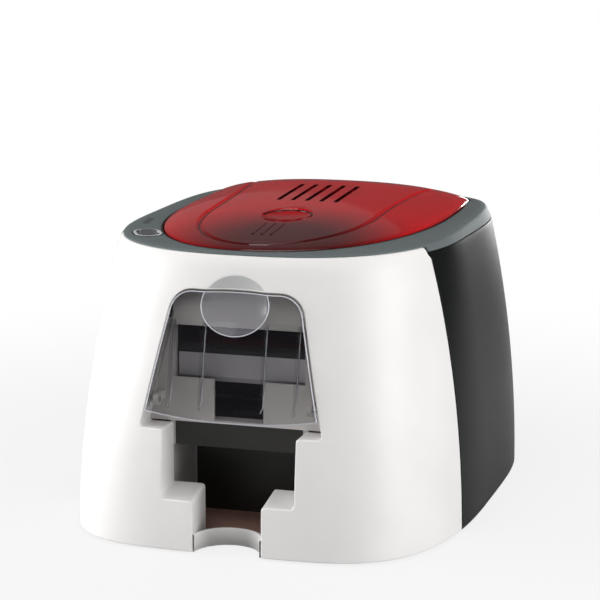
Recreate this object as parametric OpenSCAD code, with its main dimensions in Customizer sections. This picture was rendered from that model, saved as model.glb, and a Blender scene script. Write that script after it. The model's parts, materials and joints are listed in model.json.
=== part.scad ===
// Desktop ID card printer: card hopper and output bin at the front, hinged lid on top.
// Millimetres. Origin at the middle of the footprint, front towards -Y, +Z up.

/* [Body] */
// Greatest width of the casing
body_w = 275; // [260:1:300]
// Greatest depth of the casing
body_d = 339; // [320:1:360]
// Height of the flat rim that carries the top bezel
rim_z = 194; // [188:1:200]
// How far each side leans in over the lean height
side_draw = 22; // [16:1:26]
// How far the front leans back over the lean height
front_draw = 32; // [26:1:36]
// How far the rear leans in over the lean height
rear_draw = 20; // [14:1:26]
// Casing wall thickness
wall = 2.6; // [2:0.1:3.2]
// Height of the casings' lower edge above the table
skirt_z = 1.5; // [1:0.1:2]
// Station of the seam between the white front and the side panels
seam_y = -70; // [-80:1:-60]
// Half width of the rear panel between the side panels
rear_half = 84; // [78:1:92]
// Gap left at every visible seam
seam_gap = 0.3; // [0.2:0.05:0.5]

/* [Card] */
// Card width, long side
card_w = 85.6; // [85.6]
// Card depth, short side
card_d = 53.98; // [53.98]
// Card thickness
card_t = 0.76; // [0.76]
// Side clearance of a card in the hopper and the bin
card_gap = 2.7; // [2:0.1:3]
// Height of the plane on which cards are fed
path_z = 84.5; // [83:0.5:86]

/* [Front openings] */
// Height of the ledges at the hopper's foot
ledge_z = 81; // [79:0.5:82]
// Height of the ledges that hold the printed cards
bin_ledge_z = 35.5; // [32:0.5:40]
// Half width of the finger notch below the bin
notch_half = 23.5; // [20:0.5:26]
// Height of the curved lip across the notch
lip_z = 13; // [10:0.5:16]
// Depth of the openings' return walls behind the foremost point of the casing
tunnel_depth = 27.5; // [26.5:0.5:28.5]
// Thickness of the return walls
return_wall = 2.4; // [2:0.1:3]

/* [Hopper flap] */
// Height of the flap's lower edge at its corners
flap_z = 92; // [91:0.5:94]
// Height of the flap's upper edge
flap_top = 171; // [168:0.5:174]
// Half width of the flap at its foot
flap_half = 59; // [57:0.5:61]
// Half width between the centres of the round shoulders
shoulder_half = 30; // [28:0.5:32]
// Radius of the shoulders
shoulder_r = 16; // [14:0.5:18]
// Flap sheet thickness
flap_t = 2.2; // [1.8:0.1:2.6]
// Gap round the flap
flap_gap = 0.8; // [0.6:0.1:1]
// How far the flap stands proud of the casing
flap_proud = 1.2; // [0.8:0.1:2]
// Radius of the thumb scoop
scoop_r = 22; // [20:0.5:24]
// Depth of the thumb scoop
scoop_depth = 6; // [5:0.5:7]

/* [Lid] */
// Radius of the lid's rear corners, seen from above
lid_corner_r = 12; // [8:0.5:12]
// Height of the lid's crown above its edge
lid_rise = 15; // [12:0.5:16]
// Gap between the lid and the bezel
lid_gap = 1.2; // [1:0.1:1.6]
// Lid sheet thickness
lid_t = 2.4; // [2:0.1:3]
// Number of vent slots in the lid
slot_count = 5; // [3:1:7]
// Pitch of the vent slots
slot_pitch = 10.5; // [9:0.5:12]

/* [Bezel] */
// Height of the bezel above the rim
bezel_t = 1.8; // [1.4:0.1:2.4]
// Width of the bezel beside the lid
bezel_side_w = 18; // [15:0.5:21]
// Width of the bezel before the lid
bezel_front_w = 8; // [7:0.5:10]
// Width of the bezel strip at the very rear
bezel_rear_w = 6.5; // [5.5:0.1:7]
// Width of the trough behind the lid
trough_w = 15.5; // [13:0.5:17]
// Height of the bezel's shoulder over the side panels, at the seam
shoulder_front_h = 3.5; // [2.5:0.5:5]
// Height of the bezel's shoulder at the rear
shoulder_rear_h = 9; // [7:0.5:11]
// Radius of the power button
button_r = 6.2; // [5:0.1:7]
// Travel of the power button
button_travel = 1; // [0.6:0.1:1.2]

/* [Drive] */
// Radius of the rubber rollers
roller_r = 8; // [7.5:0.1:8]
// Radius of every roller shaft
shaft_r = 3; // [2.8:0.1:3.2]
// Radial running clearance of shafts and pins
run_gap = 0.05; // [0.03:0.01:0.08]
// Gear module
gear_m = 1; // [1]
// Thickness of the chassis side plates
plate_t = 2; // [1.5:0.1:2.5]
// Inner face of the chassis side plates
plate_x = 62; // [61:0.5:64]
// Station of the platen roller
platen_y = 30; // [26:1:34]
// Station of the feed roller
feed_y = -62; // [-66:1:-60]

/* [Ribbon] */
// Radius of a wound ribbon roll
roll_r = 15; // [13:0.5:16]
// Radius of a ribbon core
core_r = 9; // [8:0.5:10]
// Width of the ribbon
ribbon_w = 88; // [84:1:90]

/* [Hidden] */
$fn = 48;

// Colours
white_c = [0.93, 0.92, 0.91];
slate_c = [0.42, 0.46, 0.46];
coal_c = [0.13, 0.13, 0.14];
red_c = [0.75, 0.08, 0.1];
smoke_c = [0.6, 0.6, 0.65];
pale_c = [0.78, 0.76, 0.75];
steel_c = [0.7, 0.71, 0.73];
rubber_c = [0.08, 0.08, 0.08];
chrome_c = [0.85, 0.86, 0.88];
gear_c = [0.9, 0.88, 0.8];
board_c = [0.08, 0.32, 0.18];

// ---- Casing surface: one rounded section whose size and squareness change with height ----
lean_z = 200;
front_square_low = 4.55;
front_square_loss = 2.15;
front_round = 2.7;
rear_square = 6.2;
rear_round = 4.15;
section_points = 72;
edge_r = 9;
edge_share = 0.62;

// Inset of the rounded upper edge; edge_share is the part of a quarter circle that it turns through
function top_inset(z) = z < rim_z - edge_r ? 0
    : edge_r * (1 - sqrt(max(0, 1 - pow(edge_share * (z - rim_z + edge_r) / edge_r, 2))));
function half_w(z) = body_w / 2 - side_draw * pow(z / lean_z, 2) - top_inset(z);
function front_reach(z) = body_d / 2 - front_draw * pow(z / lean_z, 2) - top_inset(z);
function rear_reach(z) = body_d / 2 - rear_draw * pow(z / lean_z, 2) - top_inset(z);
function front_square(z) = front_square_low - front_square_loss * z / lean_z;

// Station of the front surface at a given x and height, moved in by an inset
function front_y(x, z, inset = 0) =
    -(front_reach(z) - inset)
    * pow(1 - pow(min(0.999, abs(x) / (half_w(z) - inset)), front_square(z)), 1 / front_round);

// Station of the rear surface at a given x and height
function rear_y(x, z, inset = 0) =
    (rear_reach(z) - inset)
    * pow(1 - pow(min(0.999, abs(x) / (half_w(z) - inset)), rear_square), 1 / rear_round);

function section(z, inset) = [for (i = [0:section_points - 1])
    let(
        t = 360 * i / section_points,
        c = cos(t),
        s = sin(t),
        m = s < 0 ? front_square(z) : rear_square,
        n = s < 0 ? front_round : rear_round,
        reach = (s < 0 ? front_reach(z) : rear_reach(z)) - inset
    )
    [(half_w(z) - inset) * sign(c) * pow(abs(c), 2 / m), reach * sign(s) * pow(abs(s), 2 / n)]];

// Closed solid through a stack of rings, lowest first
module loft(rings) {
    n = len(rings[0]);
    m = len(rings);
    points = [for (ring = rings) for (p = ring) p];
    sides = [for (j = [0:m - 2]) for (i = [0:n - 1]) for (k = [0:1])
        let(a = j * n + i, b = j * n + (i + 1) % n, c = b + n, d = a + n)
        k == 0 ? [a, d, c] : [a, c, b]];
    floor_face = [for (i = [0:n - 1]) i];
    roof_face = [for (i = [n - 1:-1:0]) (m - 1) * n + i];
    polyhedron(points, concat(sides, [floor_face, roof_face]));
}

module body_solid(inset, z0, z1, steps = 9) {
    heights = concat([for (i = [0:steps]) z0 + (min(z1, rim_z - edge_r) - z0) * i / steps],
        z1 > rim_z - edge_r ? [rim_z - edge_r * 0.6, rim_z - edge_r * 0.3, z1] : []);
    loft([for (z = heights) [for (p = section(z, inset)) [p[0], p[1], z]]]);
}

module casing_skin() {
    difference() {
        body_solid(0, skirt_z, rim_z);
        body_solid(wall, skirt_z - 1, rim_z + 1);
    }
}

// Box from its lowest and highest corners
module box(low, high) {
    translate(low) cube([for (i = [0:2]) high[i] - low[i]]);
}

// Cylinder along X between two stations
module rod_x(x0, x1, y, z, r) {
    translate([x0, y, z]) rotate([0, 90, 0]) cylinder(h = x1 - x0, r = r);
}

// Prism along X from an outline in Y and Z
module prism_x(x0, x1) {
    translate([x0, 0, 0]) rotate([90, 0, 90]) linear_extrude(x1 - x0) children();
}

// Prism along Y from an outline in X and Z
module prism_y(y0, y1) {
    translate([0, y1, 0]) rotate([90, 0, 0]) linear_extrude(y1 - y0) children();
}

// ---- Front openings ----
tunnel_y = tunnel_depth - body_d / 2;
bin_half = card_w / 2 + card_gap;
flap_dip = 4;
shoulder_z = flap_top - shoulder_r;
flap_lean = (flap_half - shoulder_half - shoulder_r) / (shoulder_z - flap_z);
foot_half = flap_half + flap_gap + (flap_z - ledge_z) * flap_lean;
scoop_z = flap_top - 5;

module flap_outline(grow = 0) {
    offset(delta = grow) hull() {
        for (s = [-1, 1]) translate([s * shoulder_half, shoulder_z]) circle(shoulder_r, $fn = 32);
        polygon([for (i = [-6:6]) [flap_half * i / 6, flap_z - flap_dip * (1 - pow(i / 6, 2))]]);
    }
}

module front_opening() {
    hull() {
        intersection() {
            flap_outline(flap_gap);
            translate([-body_w / 2, flap_z]) square([body_w, body_w]);
        }
        translate([-foot_half, ledge_z]) square([2 * foot_half, 1]);
    }
    translate([-bin_half, bin_ledge_z]) square([2 * bin_half, ledge_z - bin_ledge_z + 1]);
    translate([-notch_half, 0]) square([2 * notch_half, bin_ledge_z + 1]);
}

// Printed cards rest on these two sloping ledges
ledge_rise = 5;
module bin_ledges() {
    for (s = [0, 1]) mirror([s, 0, 0])
        prism_x(notch_half, bin_half + return_wall / 2) polygon([
            [-body_d / 2, bin_ledge_z - return_wall],
            [-body_d / 2, bin_ledge_z],
            [tunnel_y, bin_ledge_z + ledge_rise],
            [tunnel_y, bin_ledge_z - return_wall]]);
}

module notch_lip() {
    difference() {
        translate([0, -body_d / 2, 0]) cylinder(h = lip_z, r = notch_half + return_wall / 2);
        translate([0, -body_d / 2, -1]) cylinder(h = lip_z + 2, r = notch_half - return_wall / 2);
    }
}

scoop_sphere_r = (pow(scoop_r, 2) + pow(scoop_depth, 2)) / (2 * scoop_depth);
module scoop_ball(grow = 0) {
    translate([0, front_y(0, scoop_z) - scoop_sphere_r + scoop_depth, scoop_z])
        sphere(scoop_sphere_r + grow, $fn = 64);
}

// White front casing, with return walls round the openings and half of the thumb scoop
module front_casing() color(white_c) resize([0, 0, 0]) difference() {
    body_solid(0, skirt_z, rim_z);
    difference() {
        body_solid(wall, skirt_z - 1, rim_z + 1);
        prism_y(-body_d, tunnel_y) offset(delta = return_wall) front_opening();
        intersection() {
            scoop_ball(wall);
            box([-body_w, -body_d, flap_top], [body_w, 0, rim_z]);
        }
    }
    difference() {
        prism_y(-body_d, 0) front_opening();
        bin_ledges();
        notch_lip();
    }
    scoop_ball();
    box([-body_w, seam_y - seam_gap / 2, -1], [body_w, body_d, rim_z + 1]);
}

// ---- Side and rear panels ----
// Region below the sloping border between the panels and the bezel's shoulder
module below_shoulder(gap) {
    prism_x(-body_w, body_w) polygon([
        [seam_y - 1, -1],
        [seam_y - 1, rim_z - shoulder_front_h + gap],
        [body_d / 2, rim_z - shoulder_rear_h + gap],
        [body_d / 2, -1]]);
}
module side_panel() {
    intersection() {
        casing_skin();
        box([rear_half + seam_gap / 2, seam_y + seam_gap / 2, 0], [body_w, body_d, rim_z]);
        below_shoulder(-seam_gap / 2);
    }
}
module right_side_panel() color(coal_c) resize([0, 0, 0]) side_panel();
module left_side_panel() color(coal_c) resize([0, 0, 0]) mirror([1, 0, 0]) side_panel();

// Sockets and vents in the rear panel
tray_z = 3;
tray_t = 3;
tray_top = tray_z + tray_t;
board_top = tray_top + 8;
usb_x = -30;
jack_x = -58;
usb_size = [12.4, 11.4];
port_z = board_top + usb_size[1] / 2;
jack_r = 5.6;
fit_gap = 0.3;
vent_count = 9;
vent_pitch = 12;
vent_w = 4;
vent_z = [60, 100];
module rear_panel() color(coal_c) resize([0, 0, 0]) difference() {
    intersection() {
        casing_skin();
        box([-rear_half + seam_gap / 2, 0, 0], [rear_half - seam_gap / 2, body_d, rim_z]);
        below_shoulder(-seam_gap / 2);
    }
    translate([usb_x - usb_size[0] / 2 - fit_gap, 0, port_z - usb_size[1] / 2 - fit_gap])
        cube([usb_size[0] + 2 * fit_gap, body_d, usb_size[1] + 2 * fit_gap]);
    translate([jack_x, 0, port_z]) rotate([-90, 0, 0]) cylinder(h = body_d, r = jack_r + fit_gap, $fn = 40);
    for (i = [0:vent_count - 1]) let(x = (i - (vent_count - 1) / 2) * vent_pitch)
        box([x - vent_w / 2, 0, vent_z[0]], [x + vent_w / 2, body_d, vent_z[1]]);
}

// ---- Base tray and feet ----
module base_tray() color(coal_c) difference() {
    translate([0, 0, tray_z]) linear_extrude(tray_t) polygon(section(tray_z, wall + fit_gap));
    translate([0, -body_d / 2, 0]) cylinder(h = 20, r = notch_half + return_wall / 2 + fit_gap);
    // Slots for the return walls beside the finger notch
    for (s = [0, 1]) mirror([s, 0, 0])
        box([notch_half - fit_gap, -body_d, 0], [notch_half + return_wall + fit_gap, tunnel_y + fit_gap, 20]);
    for (p = screw_points) translate([p[0], p[1], 0]) cylinder(h = 20, r = screw_r);
    for (p = foot_points) translate([p[0], p[1], 0]) cylinder(h = 20, r = foot_stem_r);
}

foot_r = 9;
foot_stem_r = 3;
foot_points = [for (x = [-1, 1]) for (y = [-1, 1]) [x * (body_w / 2 - 42), y * (body_d / 2 - 34)]];
module rubber_feet() color(rubber_c) for (p = foot_points) translate([p[0], p[1], 0]) {
    cylinder(h = tray_z, r = foot_r);
    cylinder(h = tray_top + 1.5, r = foot_stem_r);
}

screw_r = 1.5;
screw_points = [for (x = [-1, 1]) for (y = [-1, 1]) [x * (plate_x + plate_t + 12), y * (body_d / 2 - 60)]];
module casing_screws() color(steel_c) for (p = screw_points) translate([p[0], p[1], 0]) {
    translate([0, 0, tray_z - 1.4]) cylinder(h = 1.4, r = 2.8);
    translate([0, 0, tray_z - 0.1]) cylinder(h = tray_t + plate_t + 2, r = screw_r);
}

// ---- Lid outline and dome ----
lid_half = half_w(rim_z) - bezel_side_w;
lid_front = bezel_front_w - front_reach(rim_z);
lid_rear = rear_reach(rim_z) - bezel_rear_w - trough_w;
lid_mid = 45;
lid_z = rim_z + 2;
skirt_bottom = rim_z - 4.5;
nose_power = 2.2;
tail_power = 6;
tail_taper = 3.5;
function lid_corner(y, inset) =
    let(r = lid_corner_r - inset, d = y - (lid_rear - lid_corner_r))
    d > 0 ? r - sqrt(max(0, r * r - d * d)) : 0;
function lid_half_w(y, inset = 0) = y < lid_mid
    ? (lid_half - inset) * pow(max(0, 1 - pow((lid_mid - y) / (lid_mid - lid_front - inset), nose_power)),
        1 / nose_power)
    : lid_half - inset - tail_taper * pow((y - lid_mid) / (lid_rear - lid_mid), 2) - lid_corner(y, inset);
function lid_length(y, inset = 0) = y < lid_mid
    ? pow(max(0, 1 - pow((lid_mid - y) / (lid_mid - lid_front - inset), nose_power)), 0.6)
    : pow(max(0, 1 - pow((y - lid_mid) / (lid_rear - inset - lid_mid), tail_power)), 0.6);
function lid_climb(y) = 0.53 + 0.47 * min(1, max(0, (y - lid_front - 19.5) / 200));
function lid_top(u, y, inset = 0) =
    lid_z + lid_rise * lid_climb(y) * lid_length(y, inset) * pow(max(0, 1 - pow(abs(u), 2.4)), 0.6);

lid_rows = 30;
lid_columns = 20;
function lid_station(i, inset) =
    let(a = 180 * i / lid_rows, low = lid_front + inset, high = lid_rear - inset)
    (low + high) / 2 - (high - low) / 2 * cos(a) * (1 - 0.0001);

// Closed solid under the dome: a flat floor ring and the crowned skin
module lid_solid(inset, drop, z_low) {
    rows = lid_rows;
    cols = lid_columns;
    w = cols + 1;
    skin = [for (i = [0:rows]) for (j = [0:cols])
        let(y = lid_station(i, inset), u = -cos(180 * j / cols))
        [max(0.3, lid_half_w(y, inset)) * u, y, lid_top(u, y, inset) - drop]];
    floor_points = [for (p = skin) [p[0], p[1], z_low]];
    count = len(skin);
    top_faces = [for (i = [0:rows - 1]) for (j = [0:cols - 1]) for (k = [0:1])
        let(a = i * w + j, b = a + 1, c = b + w, d = a + w) k == 0 ? [a, d, c] : [a, c, b]];
    bottom_faces = [for (f = top_faces) [f[2] + count, f[1] + count, f[0] + count]];
    rim = concat([for (j = [0:cols]) j], [for (i = [1:rows]) i * w + cols],
        [for (j = [cols - 1:-1:0]) rows * w + j], [for (i = [rows - 1:-1:1]) i * w]);
    edge = len(rim);
    wall_faces = [for (i = [0:edge - 1]) for (k = [0:1])
        let(a = rim[i], b = rim[(i + 1) % edge]) k == 0 ? [a, b, b + count] : [a, b + count, a + count]];
    polyhedron(concat(skin, floor_points), concat(top_faces, bottom_faces, wall_faces));
}

function lid_outline(inset) = concat(
    [for (i = [0:lid_rows]) let(y = lid_station(i, inset)) [lid_half_w(y, inset), y]],
    [for (i = [lid_rows:-1:1]) let(y = lid_station(i, inset)) [-lid_half_w(y, inset), y]]);

dish_y = -36;
dish_size = [18.5, 24, 5];
slot_y = [12, 74];
slot_w = 3.4;
module lid_dish(grow = 0) {
    translate([0, dish_y, lid_top(0, dish_y) + 1]) scale([for (d = dish_size) d + grow]) sphere(1, $fn = 36);
}
module lid_shell() color(red_c) resize([0, 0, 0]) difference() {
    lid_solid(0, 0, skirt_bottom);
    difference() {
        lid_solid(lid_t, lid_t, skirt_bottom - 2);
        lid_dish(lid_t);
    }
    lid_dish();
    for (i = [0:slot_count - 1]) translate([(i - (slot_count - 1) / 2) * slot_pitch - slot_w / 2, 0, lid_z])
        translate([0, slot_y[0], 0]) cube([slot_w, slot_y[1] - slot_y[0], lid_rise + 2]);
}

// ---- Lid hinge ----
ear_r = 5.5;
hinge_y = lid_rear - lid_t - ear_r - 0.6;
hinge_z = rim_z - 6;
arm_x = [plate_x, plate_x + 5];
ear_x = [arm_x[1] + 0.5, arm_x[1] + 5];
pin_x = [arm_x[0] - 2, ear_x[1] + 1];

// Frame under the dome that carries the print head and the hinge arms
frame_top = skirt_bottom + 3;
frame_low = skirt_bottom;
frame_band = 12;
frame_cross_w = 30;
rail_x = plate_x - 5;
rail_w = 24;
latch_half = 7;
arm_len = 30;
head_plate_y = [platen_y + 8, platen_y + 14];
module lid_frame() color(coal_c) difference() {
    union() {
        translate([0, 0, frame_low]) linear_extrude(frame_top - frame_low) {
            difference() {
                polygon(lid_outline(lid_t));
                polygon(lid_outline(lid_t + frame_band));
            }
            intersection() {
                polygon(lid_outline(lid_t + frame_band / 2));
                union() {
                    translate([-lid_half, head_plate_y[0] - frame_cross_w * 0.4])
                        square([2 * lid_half, frame_cross_w]);
                    for (s = [-1, 1]) translate([s * rail_x - rail_w / 2, head_plate_y[0]])
                        square([rail_w, lid_rear]);
                }
            }
        }
        for (s = [0, 1]) mirror([s, 0, 0]) hinge_arm();
        box([-latch_half, lid_front + 9, frame_low - 8], [latch_half, lid_front + 11.5, frame_low]);
        box([-latch_half, lid_front + 7, frame_low - 8], [latch_half, lid_front + 9, frame_low - 5.5]);
    }
    for (s = [0, 1]) mirror([s, 0, 0]) {
        rod_x(pin_x[0], arm_x[1] + 1, hinge_y, hinge_z, shaft_r);
        // Room for the ears and pin ends
        rod_x(ear_x[0] - 0.4, pin_x[1] + 0.4, hinge_y, hinge_z, ear_r + 0.8);
    }
}
module hinge_arm() {
    rod_x(arm_x[0], arm_x[1], hinge_y, hinge_z, ear_r);
    prism_x(arm_x[0], arm_x[1]) polygon([
        [hinge_y + ear_r * 0.7, hinge_z + ear_r * 0.7],
        [hinge_y - ear_r * 0.7, hinge_z - ear_r * 0.7],
        [hinge_y - arm_len, frame_low - 0.5],
        [hinge_y - arm_len, frame_low + 1],
        [hinge_y - 3, frame_low + 1]]);
}
module lid_hinge_pins() color(steel_c) for (s = [0, 1]) mirror([s, 0, 0])
    rod_x(pin_x[0], pin_x[1], hinge_y, hinge_z, shaft_r);

// ---- Top bezel ----
bezel_z = rim_z + bezel_t;
bezel_wall = 1.8;
lip_low = skirt_bottom - 3;
lip_high = skirt_bottom - 0.6;
lip_w = 4.4;
// Edge of the bezel's opening and of the rim, at a station before the lid's widest point
function opening_x(y) = lid_half_w(y) + lid_gap;
function rim_x(y) =
    half_w(rim_z) * pow(1 - pow(abs(y) / front_reach(rim_z), front_round), 1 / front_square(rim_z));
button_y = lid_front * 0.64;
button_x = -(0.58 * opening_x(button_y) + 0.42 * rim_x(button_y));
button_tilt = 28;
button_stretch = 4.5;
ring_r = button_r + 3.2;
lens_r = 2.2;
lens_pitch = 8;
lens_points = [for (i = [0:2])
    let(y = lid_front * 0.34 + lens_pitch * i)
    [-(opening_x(y) + rim_x(y)) / 2, y]];
swing_y = lid_rear - 32;
module bezel_opening() {
    polygon(lid_outline(-lid_gap));
    intersection() {
        polygon(section(rim_z, bezel_rear_w));
        translate([-lid_half - lid_gap + tail_taper, swing_y])
            square([2 * (lid_half + lid_gap - tail_taper), body_d]);
    }
}
shelf_z = rim_z - 20;
shelf_y = hinge_y + ear_r + 1.5;
shelf_t = 2;
module top_bezel() color(slate_c) resize([0, 0, 0]) difference() {
    union() {
        // Shelf that closes the trough behind the lid
        translate([0, 0, shelf_z - shelf_t]) linear_extrude(lip_low - shelf_z + shelf_t + 1) intersection() {
            offset(delta = bezel_wall * 0.8) bezel_opening();
            polygon(section(rim_z, wall + bezel_wall));
            translate([-body_w / 2, shelf_y]) square([body_w, body_d]);
        }
        loft([for (k = [[rim_z, 0.2], [rim_z + bezel_t * 0.6, 0.6], [bezel_z, 2.4]])
            [for (p = section(rim_z, k[1])) [p[0], p[1], k[0]]]]);
        translate([0, 0, lip_low]) linear_extrude(rim_z - lip_low + 0.1)
            polygon(section(rim_z, wall + fit_gap));
        // Shoulder over the side and rear panels
        difference() {
            body_solid(0, rim_z - shoulder_rear_h - 2, rim_z + 0.3);
            body_solid(wall + bezel_wall, 0, rim_z - 0.4);
            below_shoulder(seam_gap / 2);
            box([-body_w, -body_d, 0], [body_w, seam_y + seam_gap / 2, 2 * rim_z]);
        }
    }
    // Space under the ring, between its outer skirt and the wall round the lid
    translate([0, 0, lip_low - 1]) linear_extrude(rim_z - lip_low + 1) difference() {
        polygon(section(rim_z, wall + fit_gap + bezel_wall));
        offset(delta = bezel_wall) bezel_opening();
    }
    // Opening for the lid, with a lip that the lid rests on
    difference() {
        translate([0, 0, shelf_z]) linear_extrude(40) bezel_opening();
        translate([0, 0, lip_low]) linear_extrude(lip_high - lip_low) difference() {
            polygon(lid_outline(-lid_gap - bezel_wall / 2));
            polygon(lid_outline(lip_w - lid_gap));
            translate([-body_w / 2, swing_y]) square([body_w, body_d]);
        }
    }
    translate([0, 0, rim_z - 12]) linear_extrude(30) button_oval(ring_r + 0.2);
    for (p = lens_points) translate([p[0], p[1], rim_z - 5]) cylinder(h = 20, r = lens_r + 0.1, $fn = 24);
}
bracket_t = 4;
bracket_rear = rear_y(ear_x[1], rim_z, bezel_rear_w) - 2;
module hinge_brackets() color(steel_c) for (s = [0, 1]) mirror([s, 0, 0])
    prism_x(ear_x[0], ear_x[1]) difference() {
        union() {
            translate([hinge_y, hinge_z]) circle(ear_r);
            polygon([
                [hinge_y - 4.5, hinge_z - 3],
                [hinge_y + 2.5, hinge_z - 3],
                [hinge_y + 2.5, shelf_z + bracket_t],
                [bracket_rear, shelf_z + bracket_t],
                [bracket_rear, shelf_z],
                [hinge_y - 4.5, shelf_z]]);
        }
        translate([hinge_y, hinge_z]) circle(shaft_r + run_gap);
    }

// ---- Power button ----
ring_z = [rim_z - 10, bezel_z + 0.4];
board_t = 1.6;
cap_low = rim_z - 3;
cap_top = bezel_z + 0.2;
lens_t = 1;
cap_rim = 2;
stem_r = 1.8;
module button_oval(r) {
    translate([button_x, button_y]) rotate(button_tilt) hull()
        for (s = [-1, 1]) translate([0, s * button_stretch]) circle(r, $fn = 32);
}
module oval_block(r, z0, z1) {
    translate([0, 0, z0]) linear_extrude(z1 - z0) button_oval(r);
}
module button_ring() color(chrome_c) difference() {
    oval_block(ring_r, ring_z[0], ring_z[1]);
    oval_block(button_r + 0.3, ring_z[0] - 1, ring_z[1] + 1);
}
module power_button() color(slate_c) difference() {
    union() {
        oval_block(button_r, cap_low, cap_top);
        translate([button_x, button_y, ring_z[0] + button_travel + 0.4])
            cylinder(h = cap_low - ring_z[0] - button_travel - 0.3, r = stem_r);
    }
    oval_block(button_r - cap_rim, cap_top - lens_t, cap_top + 1);
}
module button_lens() color(coal_c) oval_block(button_r - cap_rim, cap_top - lens_t, cap_top + 0.1);
module button_spring() color(steel_c) translate([button_x, button_y, ring_z[0]])
    spring(cap_low - ring_z[0] - button_travel - 0.1, stem_r + 1.4, 0.4, 4);
module button_board() color(board_c)
    translate([button_x - 9, button_y - 16, ring_z[0] - board_t]) cube([22, 30, board_t]);
module status_lenses() color(smoke_c) for (p = lens_points)
    translate([p[0], p[1], rim_z - 4]) cylinder(h = bezel_t + 4.1, r = lens_r, $fn = 24);

// ---- Hopper flap: a clear sheet that follows the front ----
flap_pin_y = front_y(flap_half, flap_z) + 6;
flap_pin_z = flap_z + 6.5;
flap_pin_r = 2;
flap_rows = 18;
flap_columns = 20;
function flap_half_w(z) = z <= shoulder_z
    ? flap_half - (flap_half - shoulder_half - shoulder_r) * (z - flap_z) / (shoulder_z - flap_z)
    : shoulder_half + sqrt(max(0, pow(shoulder_r, 2) - pow(z - shoulder_z, 2)));
// Station of the thumb scoop's surface, or far in front where there is none
function scoop_y(x, z) =
    let(q = pow(scoop_sphere_r, 2) - pow(x, 2) - pow(z - scoop_z, 2))
    front_y(0, scoop_z) - scoop_sphere_r + scoop_depth + (q > 0 ? sqrt(q) : -body_d);
function flap_y(x, z, out) = max(front_y(x, z) - out, scoop_y(x, z));
module flap_sheet(out, back) {
    w = flap_columns + 1;
    skin = [for (i = [0:flap_rows]) for (j = [0:flap_columns])
        let(
            v = sin(90 * i / flap_rows),
            u = j / flap_columns * 2 - 1,
            z = flap_z + (flap_top - flap_z) * v,
            dip = flap_dip * (1 - u * u) * (1 - v),
            x = flap_half_w(z) * u
        )
        [x, flap_y(x, z - dip, out), z - dip]];
    rear = [for (p = skin) [p[0], p[1] + back, p[2]]];
    count = len(skin);
    faces_out = [for (i = [0:flap_rows - 1]) for (j = [0:flap_columns - 1]) for (k = [0:1])
        let(a = i * w + j, b = a + 1, c = b + w, d = a + w) k == 0 ? [a, d, c] : [a, c, b]];
    faces_in = [for (f = faces_out) [f[2] + count, f[1] + count, f[0] + count]];
    rim = concat([for (j = [0:flap_columns]) j], [for (i = [1:flap_rows]) i * w + flap_columns],
        [for (j = [flap_columns - 1:-1:0]) flap_rows * w + j], [for (i = [flap_rows - 1:-1:1]) i * w]);
    edge = len(rim);
    faces_rim = [for (i = [0:edge - 1]) for (k = [0:1])
        let(a = rim[i], b = rim[(i + 1) % edge]) k == 0 ? [a, b, b + count] : [a, b + count, a + count]];
    polyhedron(concat(skin, rear), concat(faces_out, faces_in, faces_rim));
}
flap_ribs = [21, 43];
rib_t = 1.6;
rib_len = 56;
flap_side_depth = 9;
lug_t = 3.2;
lug_r = 4;
lug_x = flap_half - flap_lean * (flap_pin_z + lug_r + 1 - flap_z) - flap_t - 0.4;
module hopper_flap() color(smoke_c) resize([0, 0, 0]) difference() {
    union() {
        flap_sheet(flap_proud, flap_t);
        intersection() {
            flap_sheet(flap_proud - 0.5, flap_side_depth);
            box([-body_w, -body_d, flap_z + 1], [body_w, tunnel_y - 0.8, shoulder_z + 4]);
            union() {
                prism_y(-body_d, 0) difference() {
                    flap_outline();
                    flap_outline(-flap_t);
                }
                for (x = flap_ribs) for (s = [-1, 1])
                    translate([s * x - rib_t / 2, -body_d, flap_z + 3]) cube([rib_t, body_d, rib_len]);
            }
        }
    }
    rod_x(-body_w, body_w, flap_pin_y, flap_pin_z, flap_pin_r);
}
module flap_pins() color(steel_c) for (s = [0, 1]) mirror([s, 0, 0])
    rod_x(lug_x - lug_t - 0.5, flap_half - flap_lean * (flap_pin_z + flap_pin_r - flap_z) - 0.2,
        flap_pin_y, flap_pin_z, flap_pin_r);

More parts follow.
